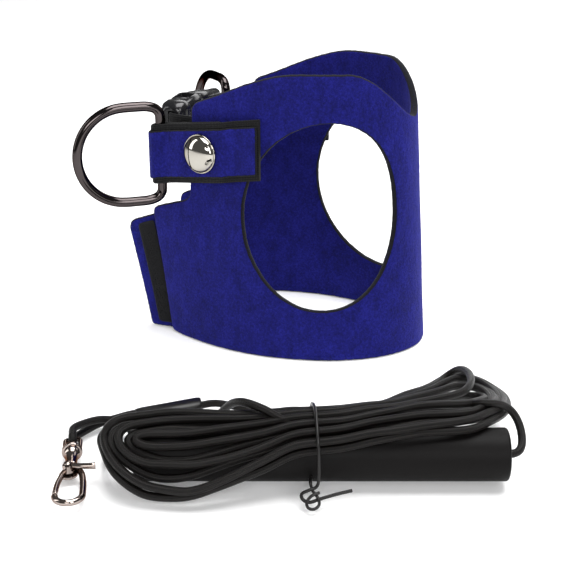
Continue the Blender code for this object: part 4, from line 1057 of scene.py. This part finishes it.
def build_ring(word, side):
    """D ring of round wire."""
    axis = ring_axis(side)
    middle = STRAP_CENTRE_Z + STRAP_SLOPE * (axis.x - tab_point(side, SEAT_STATION, 0.0).x)
    heading = Vector((-math.cos(RING_SPLAY), side * math.sin(RING_SPLAY)))
    bar_half = STRAP_WIDTH / 2.0 + RING_WIRE / 2.0 + 0.0016
    reach = RING_DEPTH - RING_WIRE / 2.0
    corner = 0.0032
    bow = bar_half + corner * 0.8
    flat = reach - bow
    outline = [(0.0, -bar_half + 2.0 * bar_half * step / 4.0) for step in range(5)]
    outline += [(corner * 0.45, bar_half + corner * 0.55), (corner * 1.4, bar_half + corner * 0.8),
                (flat * 0.6, bow)]
    outline += [(flat + bow * math.sin(math.radians(10.0 * step)), bow * math.cos(math.radians(10.0 * step)))
                for step in range(19)]
    outline += [(flat * 0.6, -bow), (corner * 1.4, -bar_half - corner * 0.8),
                (corner * 0.45, -bar_half - corner * 0.55)]
    points = [Vector((axis.x + heading.x * along, axis.y + heading.y * along, middle + up)) + VEST_PLACE
              for along, up in outline]
    points = relaxed(resampled(points, 0.0005, closed=True), 6)
    ring = tube_mesh(word + "_wire_ring", points, RING_WIRE / 2.0, LOOKS["gunmetal"], sides=28, cyclic=True)
    finished(ring, word + "_ring", "gunmetal", word + "_d_ring")


def build_snap(word, side):
    """Sprung cap: a rolled rim, a small groove and a low dome."""
    inner = wall(side, SEAT_STATION, STRAP_CENTRE_Z, 0.0)
    out = (wall(side, SEAT_STATION, STRAP_CENTRE_Z, 0.001) - inner).normalized()
    seat = COVER_OUT + STRAP_THICKNESS / 2.0 + GAP + FACING_THICKNESS
    radius = SNAP_DIAMETER / 2.0
    profile = [(0.0, seat), (radius * 0.96, seat), (radius, seat + 0.00012), (radius, seat + 0.0005)]
    for step in range(9):
        angle = math.radians(90.0 * step / 8.0)
        profile.append((radius * 0.955 + radius * 0.045 * math.cos(angle),
                        seat + 0.0005 + 0.0003 * math.sin(angle)))
    profile.append((radius * 0.93, seat + 0.00072))
    for step in range(1, 19):
        angle = math.radians(90.0 * step / 18.0)
        profile.append((radius * 0.92 * math.cos(angle),
                        seat + 0.0007 + (SNAP_DOME - 0.0007) * math.sin(angle)))
    profile[-1] = (0.0, seat + SNAP_DOME)
    cap = lathe_mesh(word + "_cap", profile, LOOKS["chrome"], inner + VEST_PLACE, out, 72)
    finished(cap, "vest", "chrome", word + "_snap_cap")


# ---------------------------------------------------------------- buckle
def build_webbing(word, side, y_end):
    """Tape from inside the wall to the buckle."""
    out = -CLOTH / 2.0 - LEAN_ROOM - WEBBING_THICKNESS / 2.0
    knots = [tab_point(side, WEBBING_STATION + step, out) for step in (0.0, 3.0, 6.0)]
    knots += [Vector((BUCKLE_X + 0.0030, side * 0.0201)), Vector((BUCKLE_X + 0.0007, side * 0.0191)),
              Vector((BUCKLE_X, side * 0.0172)), Vector((BUCKLE_X, y_end))]
    route = [p.xy for p in smooth_route([(k.x, k.y, 0.0) for k in knots], 0.0006)]
    tape = strip_mesh(word + "_buckle_tape", route, WEBBING_THICKNESS,
                      STRAP_LOW + 0.0003, STRAP_HIGH - 0.0003,
                      LOOKS["webbing"])
    finished(tape, "vest", "webbing", word + "_webbing")


def refined(node, name, look, width):
    """A copy of one of the part's hard pieces with its sharp edges broken."""
    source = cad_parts[node]
    mesh = source.data.copy()
    made = bpy.data.objects.new(name, mesh)
    made.matrix_world = source.matrix_world
    bpy.context.scene.collection.objects.link(made)
    builder = bmesh.new()
    builder.from_mesh(mesh)
    bmesh.ops.remove_doubles(builder, verts=builder.verts, dist=1e-6)
    bmesh.ops.dissolve_limit(builder, angle_limit=math.radians(1.0), verts=builder.verts, edges=builder.edges)
    builder.to_mesh(mesh)
    builder.free()
    mesh.materials.clear()
    mesh.materials.append(look)
    step = made.modifiers.new("broken_edges", "BEVEL")
    step.width = width
    step.segments = 2
    step.limit_method = "ANGLE"
    step.angle_limit = math.radians(38.0)
    bpy.context.view_layer.update()
    solid = bpy.data.meshes.new_from_object(made.evaluated_get(bpy.context.evaluated_depsgraph_get()))
    made.modifiers.clear()
    made.data = solid
    solid.shade_smooth()
    solid.set_sharp_from_angle(angle=math.radians(50.0))
    return made


# ---------------------------------------------------------------- the lead
GRIP_FROM = -0.0412
GRIP_Y = -0.1140
GRIP_Z = TIE_WIRE + 0.0004 + GRIP_DIAMETER / 2.0
HOOK_SPACE = Matrix.Translation((-0.0605, -0.0962, 0.0034)) @ Matrix.Rotation(math.radians(7.5), 4, "Z")
HOOK_FERRULE = (Vector((-0.0450, -0.0800, 0.0030)), Vector((-0.0272, -0.0722, 0.0030)))
GRIP_FERRULE = (Vector((-0.0465, -0.0885, 0.0030)), Vector((-0.0320, -0.0872, 0.0030)))
# x, then (y, z) of the hank's front edge, the crown that bends it over the grip, and its back edge
HANK_STATIONS = (
    (-0.0508, (-0.1150, 0.0090), (-0.1100, 0.0135), (-0.1050, 0.0115)),
    (-0.0468, (-0.1245, 0.0026), (-0.1195, 0.0245), (-0.1035, 0.0140)),
    (-0.0380, (-0.1280, 0.0024), (-0.1210, 0.0240), (-0.1050, 0.0150)),
    (-0.0260, (-0.1290, 0.0024), (-0.1215, 0.0245), (-0.1050, 0.0155)),
    (-0.0120, (-0.1260, 0.0070), (-0.1200, 0.0240), (-0.1050, 0.0155)),
    (0.0000, (-0.1238, 0.0125), (-0.1160, 0.0236), (-0.1040, 0.0140)),
    (0.0100, (-0.1230, 0.0135), (-0.1150, 0.0236), (-0.1035, 0.0138)),
    (0.0220, (-0.1215, 0.0155), (-0.1100, 0.0230), (-0.0920, 0.0100)),
    (0.0360, (-0.1190, 0.0172), (-0.1060, 0.0222), (-0.0720, 0.0055)),
    (0.0450, (-0.1165, 0.0176), (-0.1035, 0.0204), (-0.0545, 0.0026)),
    (0.0520, (-0.1120, 0.0172), (-0.0980, 0.0164), (-0.0450, 0.0024)),
    (0.0600, (-0.1020, 0.0140), (-0.0850, 0.0110), (-0.0500, 0.0024)),
)


def from_lead(points):
    """Points of the lead's own space, set down beside the vest."""
    return [LEAD_SPACE @ Vector(p) for p in points]


def hook_place(x, y, z=0.0):
    """A point given in the hook's space, taken to the lead's own."""
    return HOOK_SPACE @ Vector((x, y, z))


def hank_point(x, share, lift):
    """A point of the wound cord: share runs from its front edge to its back edge, lift is off its middle."""
    stations = HANK_STATIONS
    index = 0
    while index < len(stations) - 2 and x > stations[index + 1][0]:
        index += 1
    first, last = stations[index], stations[index + 1]
    t = min(1.0, max(0.0, (x - first[0]) / (last[0] - first[0])))
    t = t * 0.5 + 0.5 * t * t * (3.0 - 2.0 * t)
    front, crown, back = (Vector(a).lerp(Vector(b), t) for a, b in zip(first[1:], last[1:]))

    def line(s):
        return front * (1.0 - s) ** 2 + crown * 2.0 * s * (1.0 - s) + back * s ** 2

    share = min(1.04, max(-0.04, share))
    here = line(share)
    along = (line(share + 0.01) - line(share - 0.01)).normalized()
    place = here + Vector((-along.y, along.x)) * lift
    return Vector((x, place.x, max(place.y, CORD_DIAMETER / 2.0 + 0.0002)))


# where the runs of the hank lie across it at its right end
RIGHT_SHARES = (0.02, 0.08, 0.14, 0.20, 0.26, 0.33, 0.40, 0.50, 0.58, 0.68, 0.79, 0.85, 0.90, 0.95, 1.00)
# each run's share across the hank at the left, at the tie and at the right; the runs alternate in layer
LANES = tuple((0.01 + 0.070 * lane, 0.05 + 0.064 * lane, right, 0.00095 if lane % 2 else -0.00095)
              for lane, right in enumerate(RIGHT_SHARES))
GRIP_LANE = 6
LANE_ORDER = (13, 7, 5, 8, 4, 9, 3, 10, 2, 11, 1, 12, 0, 14)
LEFT_END = -0.0330
TIE_X = 0.0050
RIGHT_END = 0.0450
RIGHT_TIPS = (0.0505, 0.0520, 0.0536, 0.0552, 0.0567, 0.0582, 0.0597)
LEFT_TIPS = (-0.0410, -0.0430, -0.0450, -0.0470, -0.0489, -0.0507)
ROUTE_STEP = 0.0009


def lane_point(lane, x, wander):
    """One run of the cord at x; it wanders a little between its two loops."""
    left, middle, right, layer = LANES[lane]
    if x < TIE_X:
        t = blend_step(TIE_X, LEFT_END, x) if x > LEFT_END else 1.0
        share = middle + (left - middle) * t
    else:
        t = blend_step(TIE_X, RIGHT_END, x)
        share = middle + (right - middle) * t
    loose = min(1.0, abs(x - TIE_X) / 0.02)
    share += 0.022 * loose * math.sin(wander + x * 120.0)
    lift = layer * (1.0 - 0.15 * loose) + 0.0004 * loose * math.cos(wander * 1.7 + x * 150.0)
    return hank_point(x, share, lift)


def run(lane, start, end, wander):
    """Knots along one run between two places on x."""
    count = max(2, round(abs(end - start) / 0.0065))
    return [lane_point(lane, start + (end - start) * step / count, wander) for step in range(count + 1)]


def turn_back(lane_a, lane_b, start, tip, wander_a, wander_b, lift=0.0):
    """Knots of the loop from one run round into another, out to tip on x."""
    knots = []
    for step in range(1, 8):
        angle = math.pi * step / 8.0
        x = start + (tip - start) * math.sin(angle)
        mix = 0.5 - 0.5 * math.cos(angle)
        a = lane_point(lane_a, start, wander_a)
        b = lane_point(lane_b, start, wander_b)
        share_a = LANES[lane_a][2 if tip > 0.0 else 0]
        share_b = LANES[lane_b][2 if tip > 0.0 else 0]
        share = share_a + (share_b - share_a) * mix
        layer = LANES[lane_a][3] + (LANES[lane_b][3] - LANES[lane_a][3]) * mix
        place = hank_point(x, share, layer * 0.85 + lift * math.sin(angle))
        knots.append(place.lerp(a if mix < 0.5 else b, max(0.0, abs(mix - 0.5) * 2.0 - 0.75)))
    return knots


def ferrule_lines(ends):
    """A ferrule's left and right ends, the way along it, and the offset of one of its two cords."""
    left, right = ends
    along = (right - left).normalized()
    across = Vector((-along.y, along.x, 0.0)) * (CORD_DIAMETER / 2.0 + 0.0001)
    return left, right, along, across


def main_cord_route():
    """From the grip ferrule through every turn of the hank, to the hook ferrule, the yoke and back."""
    order = LANE_ORDER
    wander = [0.7 + 1.9 * step for step in range(len(order))]
    _, right, along, across = ferrule_lines(GRIP_FERRULE)
    knots = [right - along * 0.004 - across, right + along * 0.001 - across,
             right + along * 0.006 - across * 1.2, (-0.0195, -0.0925, 0.0040), (-0.0120, -0.0985, 0.0100)]
    knots += run(order[0], -0.0030, RIGHT_END, wander[0])
    for index in range(len(order) - 1):
        here, then = order[index], order[index + 1]
        if index % 2 == 0:
            knots += turn_back(here, then, RIGHT_END, RIGHT_TIPS[index // 2],
                               wander[index], wander[index + 1], 0.0024 if index == 0 else 0.0)
            last = index == len(order) - 2
            knots += run(then, RIGHT_END, 0.0250 if last else LEFT_END, wander[index + 1])
        else:
            knots += turn_back(here, then, LEFT_END, LEFT_TIPS[index // 2], wander[index], wander[index + 1])
            knots += run(then, LEFT_END, RIGHT_END, wander[index + 1])
    left, right, along, across = ferrule_lines(HOOK_FERRULE)
    up = Vector((0.0, 0.0, 0.0012))
    knots += [(0.0160, -0.0868, 0.0068), (0.0080, -0.0836, 0.0034), (-0.0020, -0.0790, 0.0020),
              (-0.0120, -0.0745, 0.0018), right + along * 0.004 - across, right - across, left - across,
              left - along * 0.005 - across * 1.1, left - along * 0.0115 - across * 0.8 + up,
              hook_place(0.0006, 0.0038, 0.0019)]
    bend = YOKE_WIRE + 0.0002 + CORD_DIAMETER / 2.0
    for step in range(7):
        angle = math.radians(90.0 - 30.0 * step)
        knots.append(hook_place(0.0, -YOKE_WIRE - bend * math.cos(angle), bend * math.sin(angle)))
    knots += [hook_place(-0.0004, 0.0038, -0.0018), left - along * 0.0115 + across * 0.8 - up,
              left - along * 0.005 + across * 1.1 - Vector((0.0, 0.0, 0.0004)), left + across,
              right - along * 0.002 + across]
    route = smooth_route(knots, ROUTE_STEP)
    wound = min(range(len(route)), key=lambda index: (route[index] - right + across).length)
    return from_lead(relaxed(route[:wound], 10, closed=False) + route[wound:])


def grip_cord_route():
    """From the grip ferrule through the grip and back along the hank to the same ferrule."""
    left, right, along, across = ferrule_lines(GRIP_FERRULE)
    end = GRIP_FROM + GRIP_LENGTH
    knots = [left + along * 0.003, left - along * 0.0005, (-0.0498, -0.0887, 0.0030),
             (-0.0520, -0.0925, 0.0028), (-0.0508, -0.0985, 0.0026), (-0.0502, -0.1050, 0.0034),
             (-0.0480, -0.1110, 0.0060), (-0.0436, GRIP_Y, GRIP_Z)]
    knots += [(GRIP_FROM + GRIP_LENGTH * step / 8.0, GRIP_Y, GRIP_Z) for step in range(9)]
    knots += [(end + 0.0018, GRIP_Y, GRIP_Z), (0.0582, -0.1130, 0.0086), (0.0594, -0.1090, 0.0100),
              (0.0590, -0.1040, 0.0130), (0.0560, -0.1030, 0.0166), (0.0500, -0.1060, 0.0190)]
    knots += run(GRIP_LANE, 0.0440, 0.0, 2.2)
    knots += [hank_point(-0.0080, 0.62, 0.0031), hank_point(-0.0150, 0.86, 0.0032),
              (-0.0200, -0.0985, 0.0125), (-0.0235, -0.0925, 0.0060), right + along * 0.004 + across * 1.2,
              right + along * 0.0005 + across, right - along * 0.004 + across]
    return from_lead(relaxed(smooth_route(knots, ROUTE_STEP), 6, closed=False))


def build_tie():
    """Plastic-covered wire round the hank and the grip; its ends cross in front, in an eye and a tail."""
    half = TIE_WIRE / 2.0
    low = half + 0.0002
    over = HANK_THICKNESS / 2.0 + half + 0.0001
    loop = [hank_point(TIE_X + 0.0008 - 0.00018 * step, step / 8.0, over) for step in range(9)]
    below = GRIP_DIAMETER / 2.0 + GAP + half
    for degrees in (-15.0, -45.0, -70.0, -90.0, -110.0, -135.0, -158.0):
        angle = math.radians(degrees)
        place = (GRIP_Y + math.cos(angle) * below, max(low, GRIP_Z + math.sin(angle) * below))
        loop.append((TIE_X - 0.0010, *place))
    tail = [(0.0092, -0.1262, 0.0046), (0.0050, -0.1268, 0.0038), (0.0012, -0.1276, 0.0030),
            (-0.0014, -0.1282, 0.0024), (-0.0031, -0.1279, 0.0030), (-0.0034, -0.1269, 0.0040),
            (-0.0016, -0.1264, 0.0048), (0.0004, -0.1259, 0.0056), (0.0009, -0.1256, 0.0085)]
    eye = [(-0.0012, -0.1244, 0.0058), (-0.0006, -0.1262, 0.0044), (0.0006, -0.1280, 0.0036),
           (0.0009, -0.1294, 0.0024), (-0.0004, -0.1302, 0.0016), (-0.0019, -0.1297, 0.0018),
           (-0.0021, -0.1288, 0.0030), (-0.0008, -0.1280, 0.0042), (0.0010, -0.1273, 0.0046)]
    knots = [(TIE_X + x, y, z) for x, y, z in tail] + loop + [(TIE_X + x, y, z) for x, y, z in eye]
    route = from_lead(smooth_route(knots, 0.0004))
    tie = tube_mesh("tie_wire", route, half, LOOKS["sleeve"], sides=12,
                    shape=lambda index, angle: 1.0 - 0.22 * abs(math.sin(angle)))
    return finished(tie, "lead", "matte_plastic", "twist_tie")


def route_length(points):
    """Length of a polyline."""
    return sum((b - a).length for a, b in zip(points, points[1:]))


def build_cords():
    """The cord, which comes first, with its ferrules, its tie and its hook."""
    tie = build_tie()
    hook_sleeve = build_sleeve("hook_sleeve", HOOK_FERRULE, "hook_ferrule", 0.0010)
    crimp = build_sleeve("grip_cord_sleeve", GRIP_FERRULE, "grip_ferrule", 0.0)
    hardware = [hook_sleeve, build_yoke(), build_hook(), build_gate()]
    route = main_cord_route()
    cord = tube_mesh("lead_cord", route, CORD_DIAMETER / 2.0, LOOKS["braid"], sides=12)
    finished(cord, "lead", "cord", "lead_hank", "cord_hook_loop", "cord_to_hank", "cord_ferrule_to_hank")
    tuple(route[0])
    route_length(route)
    loop_route = grip_cord_route()
    loop = tube_mesh("grip_cord", loop_route, CORD_DIAMETER / 2.0, LOOKS["braid"], sides=12)
    finished(loop, "lead", "cord", "cord_grip_left", "cord_grip_right")
    tuple(loop_route[0])
    route_length(loop_route)
    print("cord lengths:", round(route_length(route), 3), round(route_length(loop_route), 3))


# ---------------------------------------------------------------- grip, ferrules and swivel hook
def joined(name, parts):
    """One piece of several meshes."""
    with bpy.context.temp_override(active_object=parts[0], selected_editable_objects=parts):
        bpy.ops.object.join()
    parts[0].name = name
    return parts[0]


def build_grip():
    """Thick soft sleeve with rounded ends, over the plain tube that the cord runs through."""
    radius = GRIP_DIAMETER / 2.0
    bore = radius - GRIP_WALL
    rounding = 0.0008
    profile = [(bore, 0.0012), (bore + 0.0002, 0.0004), (bore + 0.0006, 0.0)]
    for step in range(7):
        angle = math.radians(15.0 * step)
        profile.append((radius - rounding + rounding * math.sin(angle),
                        rounding - rounding * math.cos(angle)))
    profile += [(radius, GRIP_LENGTH * share) for share in (0.02, 0.3, 0.5, 0.7, 0.98)]
    for step in range(7):
        angle = math.radians(90.0 - 15.0 * step)
        profile.append((radius - rounding + rounding * math.sin(angle),
                        GRIP_LENGTH - rounding + rounding * math.cos(angle)))
    profile += [(bore + 0.0006, GRIP_LENGTH), (bore + 0.0002, GRIP_LENGTH - 0.0004),
                (bore, GRIP_LENGTH - 0.0012), (bore, 0.0012)]
    start = LEAD_SPACE @ Vector((GRIP_FROM, GRIP_Y, GRIP_Z))
    axis = LEAD_SPACE.to_3x3() @ Vector((1.0, 0.0, 0.0))
    sleeve = lathe_mesh("soft_grip", profile, LOOKS["rubber"], start, axis, 96)
    finished(sleeve, "lead", "grip", "grip_sleeve")


def build_sleeve(name, ends, node, slant):
    """Shrunk sleeve over two runs of the cord: a smooth oval that necks in at both ends."""
    left, right = ends
    along = (right - left).normalized()
    across = Vector((-along.y, along.x, 0.0))
    length = (right - left).length
    tall = CORD_DIAMETER / 2.0
    sides = 32
    rows = []
    outer = [(0.0, 0.00022), (0.02, 0.00040), (0.06, 0.00052), (0.12, 0.00058), (0.5, 0.00056),
             (0.88, 0.00058), (0.95, 0.00052), (0.985, 0.00040), (1.0, 0.00024)]
    inner = [(1.0, 0.00012), (0.99, 0.00008), (0.01, 0.00008), (0.0, 0.00012)]
    for share, wall_out in outer + inner:
        row = []
        for step in range(sides):
            angle = 2.0 * math.pi * step / sides
            c, s = math.cos(angle), math.sin(angle)
            wide = CORD_DIAMETER + 0.0002 + wall_out
            waist = 1.0 - 0.10 * (1.0 - abs(c)) ** 2
            shift = slant * c * (share - 0.5) * 2.0 if share > 0.5 else 0.0
            place = left + along * (length * share + shift * 0.6) + across * wide * c
            row.append(LEAD_SPACE @ (place + Vector((0.0, 0.0, (tall + wall_out) * s * waist))))
        rows.append(row)
    vertices = [v for row in rows for v in row]
    faces = []
    corners = []
    for index in range(len(rows)):
        a, b = index * sides, ((index + 1) % len(rows)) * sides
        for step in range(sides):
            after = (step + 1) % sides
            faces.append((a + step, a + after, b + after, b + step))
            corners += [(step / sides, 0.0), (after / sides, 0.0), (after / sides, 1.0), (step / sides, 1.0)]
    sleeve = mesh_object(name, vertices, faces, LOOKS["sleeve"], corners)
    sleeve.data.set_sharp_from_angle(angle=math.radians(70.0))
    return finished(sleeve, "lead", "ferrule", node)


# in the hook's space, which has its origin inside the eye's bend and runs along -Y
YOKE_BASE_Y = -0.0062
YOKE_BASE = 0.0013
YOKE_WIDTH = 0.0055
STEM_RADIUS = 0.0007
PIN_RADIUS = 0.0005
LUG_LOW = -0.0016
LUG_HIGH = -0.0008
LEVER_Z = 0.00145
LEVER_HIGH = 0.0018
HUB_RADIUS = 0.0014
COLLAR_Y = YOKE_BASE_Y - YOKE_BASE - GAP
SHANK_Y = -0.0155
GATE_PIVOT = (-0.0006, -0.0175)
BOW_Y = -0.0305
HOOK_HALF = 0.0043
HOOK_WIRE = 0.0017


def hook_axis_turned(name, profile):
    """A piece turned about the hook's long axis."""
    axis = (LEAD_SPACE @ HOOK_SPACE).to_3x3() @ Vector((0.0, 1.0, 0.0))
    return lathe_mesh(name, profile, LOOKS["nickel"], (LEAD_SPACE @ HOOK_SPACE).translation, axis, 48)


def hook_upright(name, x, y, profile):
    """A piece turned about an upright axis of the hook."""
    return lathe_mesh(name, profile, LOOKS["nickel"], LEAD_SPACE @ hook_place(x, y), (0.0, 0.0, 1.0), 40)


def hook_wire(name, knots, radius, shape=None):
    """Round wire through knots of the hook's space."""
    route = [LEAD_SPACE @ hook_place(p.x, p.y, p.z) for p in smooth_route(knots, 0.00025)]
    return tube_mesh(name, route, radius, LOOKS["nickel"], sides=20, shape=shape)


def build_yoke():
    """Bent wire on a washer that the rivet turns in."""
    rim = YOKE_WIDTH / 2.0
    hole = STEM_RADIUS + RUNNING
    low, high = YOKE_BASE_Y - YOKE_BASE, YOKE_BASE_Y
    profile = [(hole, low), (rim - 0.0003, low), (rim - 0.0001, low + 0.0001), (rim, low + 0.0003),
               (rim, high - 0.0003), (rim - 0.0001, high - 0.0001), (rim - 0.0003, high), (hole, high),
               (hole, low)]
    washer = hook_axis_turned("yoke_washer", profile)
    arm = rim - YOKE_WIRE - 0.0001
    bend = 0.0010
    foot = [YOKE_BASE_Y - 0.0004, YOKE_BASE_Y + 0.0020, -bend]
    knots = [(-arm, y, 0.0) for y in foot]
    for step in range(1, 5):
        angle = math.radians(180.0 - 22.5 * step)
        knots.append((-arm + bend + bend * math.cos(angle), -bend + bend * math.sin(angle), 0.0))
    for step in range(4):
        angle = math.radians(90.0 - 22.5 * step)
        knots.append((arm - bend + bend * math.cos(angle), -bend + bend * math.sin(angle), 0.0))
    knots += [(arm, y, 0.0) for y in reversed(foot)]
    yoke = joined("swivel_eye", [washer, hook_wire("yoke_wire", knots, YOKE_WIRE)])
    return finished(yoke, "lead", "nickel", "swivel_yoke")


def build_hook():
    """Collar, tapered shank and lug, and the bow of round wire."""
    bore = 0.0010
    profile = [(0.0, COLLAR_Y - 0.0022), (bore, COLLAR_Y - 0.0022), (bore, COLLAR_Y), (0.0019, COLLAR_Y),
               (0.0022, COLLAR_Y - 0.0003), (0.0022, COLLAR_Y - 0.0010), (0.0019, COLLAR_Y - 0.0014),
               (0.00155, COLLAR_Y - 0.0019), (0.0016, SHANK_Y + 0.002), (0.0017, SHANK_Y),
               (0.0012, SHANK_Y - 0.0003), (0.0, SHANK_Y - 0.0004)]
    shank = hook_axis_turned("hook_shank", profile)
    profile = [(0.0008, LUG_LOW), (0.0022, LUG_LOW), (0.0024, LUG_LOW + 0.0002), (0.0024, LUG_HIGH - 0.0002),
               (0.0022, LUG_HIGH), (0.0008, LUG_HIGH), (0.0008, LUG_LOW)]
    lug = hook_upright("hook_lug", *GATE_PIVOT, profile)
    wire = HOOK_WIRE / 2.0
    knots = [(0.0006, SHANK_Y + 0.0014, 0.0), (0.0018, SHANK_Y - 0.0010, 0.0),
             (HOOK_HALF * 0.70, GATE_PIVOT[1] - 0.0026, 0.0), (HOOK_HALF * 0.80, BOW_Y + 0.0052, 0.0)]
    reach = HOOK_HALF - wire
    for step in range(13):
        angle = math.radians(-178.0 * step / 12.0)
        knots.append((reach * math.cos(angle), BOW_Y + reach * math.sin(angle) * 1.1, 0.0))
    bow = hook_wire("hook_bow", knots, wire)
    return finished(joined("snap_hook", [shank, lug, bow]), "snap_hook", "nickel", "hook_body")


def build_gate():
    """Sprung gate: hub, curved bar and a thumb lever that thickens from its root."""
    pivot_x, pivot_y = GATE_PIVOT
    hole = PIN_RADIUS + RUNNING
    low = LUG_HIGH + GAP
    profile = [(hole, low), (HUB_RADIUS - 0.0002, low), (HUB_RADIUS, low + 0.0002),
               (HUB_RADIUS, LEVER_HIGH - 0.0002), (HUB_RADIUS - 0.0002, LEVER_HIGH), (hole, LEVER_HIGH),
               (hole, low)]
    hub = hook_upright("gate_hub", *GATE_PIVOT, profile)
    wire = HOOK_WIRE * 0.42
    nose = -HOOK_HALF + HOOK_WIRE / 2.0
    knots = [(pivot_x - 0.00105, pivot_y - 0.00077, 0.0), (nose * 0.86, (pivot_y + BOW_Y) / 2.0, 0.0),
             (nose, BOW_Y + wire + GAP + 0.0003, 0.0)]
    bar = hook_wire("gate_bar", knots, wire)
    tip = HOOK_HALF + 0.0022
    knots = [(pivot_x + 0.0006, pivot_y, LEVER_Z), (pivot_x + 0.0030, pivot_y - 0.0006, LEVER_Z),
             (tip - 0.0010, pivot_y - 0.0010, LEVER_Z), (tip, pivot_y - 0.0010, LEVER_Z)]
    lever = hook_wire("gate_lever", knots, 0.00062, lambda index, angle: 1.0 + 0.018 * min(index, 26))
    return finished(joined("hook_thumb_gate", [hub, bar, lever]), "hook_gate", "nickel", "hook_gate")


# ---------------------------------------------------------------- the part's own hard pieces
NODE_LOOKS = {
    "near_snap_post": "steel", "far_snap_post": "steel", "buckle_socket": "gloss", "buckle_plug": "gloss",
    "grip_sleeve": "rubber", "grip_core": "satin", "grip_plug_left": "satin", "grip_plug_right": "satin",
    "hook_ferrule": "sleeve", "grip_ferrule": "sleeve", "twist_tie": "satin", "swivel_yoke": "nickel",
    "swivel_rivet": "nickel", "hook_body": "nickel", "hook_gate": "nickel", "gate_pin": "nickel",
    "vest_shell": "suede", "near_closing_flap": "lining", "far_closing_flap": "lining", "loop_strip": "pile",
    "hook_strip": "hooks",
    "near_tab_strap": "webbing", "far_tab_strap": "webbing", "near_tab_facing": "suede",
    "far_tab_facing": "suede", "near_d_ring": "gunmetal", "far_d_ring": "gunmetal", "near_snap_cap": "chrome",
    "far_snap_cap": "chrome", "near_webbing": "webbing", "far_webbing": "webbing", "lead_hank": "braid",
    "cord_hook_loop": "braid", "cord_to_hank": "braid",
    "cord_ferrule_to_hank": "braid", "cord_grip_left": "braid",
    "cord_grip_right": "braid",
}


def dress_nodes():
    """Give each of the part's own pieces its material; their shapes stay as they are."""
    for name, look in NODE_LOOKS.items():
        node = bpy.data.objects.get(name)
        if node is not None and node.type == "MESH":
            node.data.materials.clear()
            node.data.materials.append(LOOKS[look])


# ---------------------------------------------------------------- studio
def softbox(name, place, aim, size, power):
    """A white rectangular light turned towards aim."""
    data = bpy.data.lights.new(name, "AREA")
    data.shape = "RECTANGLE"
    data.size, data.size_y = size
    data.energy = power
    lamp = bpy.data.objects.new(name, data)
    bpy.context.scene.collection.objects.link(lamp)
    lamp.location = place
    lamp.rotation_mode = "QUATERNION"
    lamp.rotation_quaternion = (Vector(aim) - Vector(place)).to_track_quat("-Z", "Y")
    return lamp


def build_studio():
    """A pale floor, five soft lights and a dim white surround."""
    floor_look = Shader("studio_floor")
    floor_look.set(Roughness=0.9, Specular_IOR_Level=0.1, Emission_Strength=0.14)
    grain = floor_look.math("MULTIPLY", floor_look.noise(floor_look.place(), 40.0, 3.0), 0.05)
    floor_look.colour(floor_look.mix(grain, (0.90, 0.90, 0.90), (0.84, 0.84, 0.84)))
    size = 4.0
    mesh = bpy.data.meshes.new("studio_floor")
    mesh.from_pydata([(-size, -size, 0.0), (size, -size, 0.0), (size, size, 0.0), (-size, size, 0.0)], [],
                     [(0, 1, 2, 3)])
    floor = bpy.data.objects.new("studio_floor", mesh)
    bpy.context.scene.collection.objects.link(floor)
    floor.location = (0.0, 0.0, -0.0001)
    mesh.materials.append(floor_look.material)
    aim = VEST_PLACE + Vector((0.0, -0.03, 0.03))
    lamps = [
        softbox("overhead_box", (0.10, 0.05, 1.10), aim, (0.9, 0.8), 19.0),
        softbox("left_box", (-0.95, -0.45, 0.50), aim, (0.25, 0.9), 3.0),
        softbox("right_box", (0.80, -0.70, 0.55), aim, (0.35, 0.8), 6.0),
        softbox("front_box", (0.28, -1.05, 0.50), aim, (0.55, 0.22), 4.0),
        softbox("rear_box", (0.0, 1.10, 0.70), aim, (1.4, 0.5), 6.0),
    ]
    world = bpy.data.worlds.new("studio_world")
    bpy.context.scene.world = world
    world.use_nodes = True
    world.node_tree.nodes["Background"].inputs["Color"].default_value = (1.0, 1.0, 1.0, 1.0)
    world.node_tree.nodes["Background"].inputs["Strength"].default_value = 0.16
    bpy.context.scene.view_settings.view_transform = "Standard"


set_camera()
build_cords()
build_vest()
for word, side in SIDES.items():
    build_flap(word, side)
    build_tab(word, side)
    build_ring(word, side)
    build_snap(word, side)
build_fastener("near", -1.0, "loop_strip", 1.0, "pile", loop_source)
build_fastener("far", 1.0, "hook_strip", -1.0, "hooks", hook_source)
build_webbing("near", -1.0, SOCKET_START + 0.0042)
build_webbing("far", 1.0, PLUG_END - 0.0034)
build_grip()
dress_nodes()
for node, width in (("buckle_socket", 0.0003), ("buckle_plug", 0.0002)):
    copy = refined(node, node.replace("buckle_", "moulded_"), LOOKS["gloss"], width)
    finished(copy, "vest" if node == "buckle_socket" else "buckle_plug", "gloss_plastic", node)
build_studio()
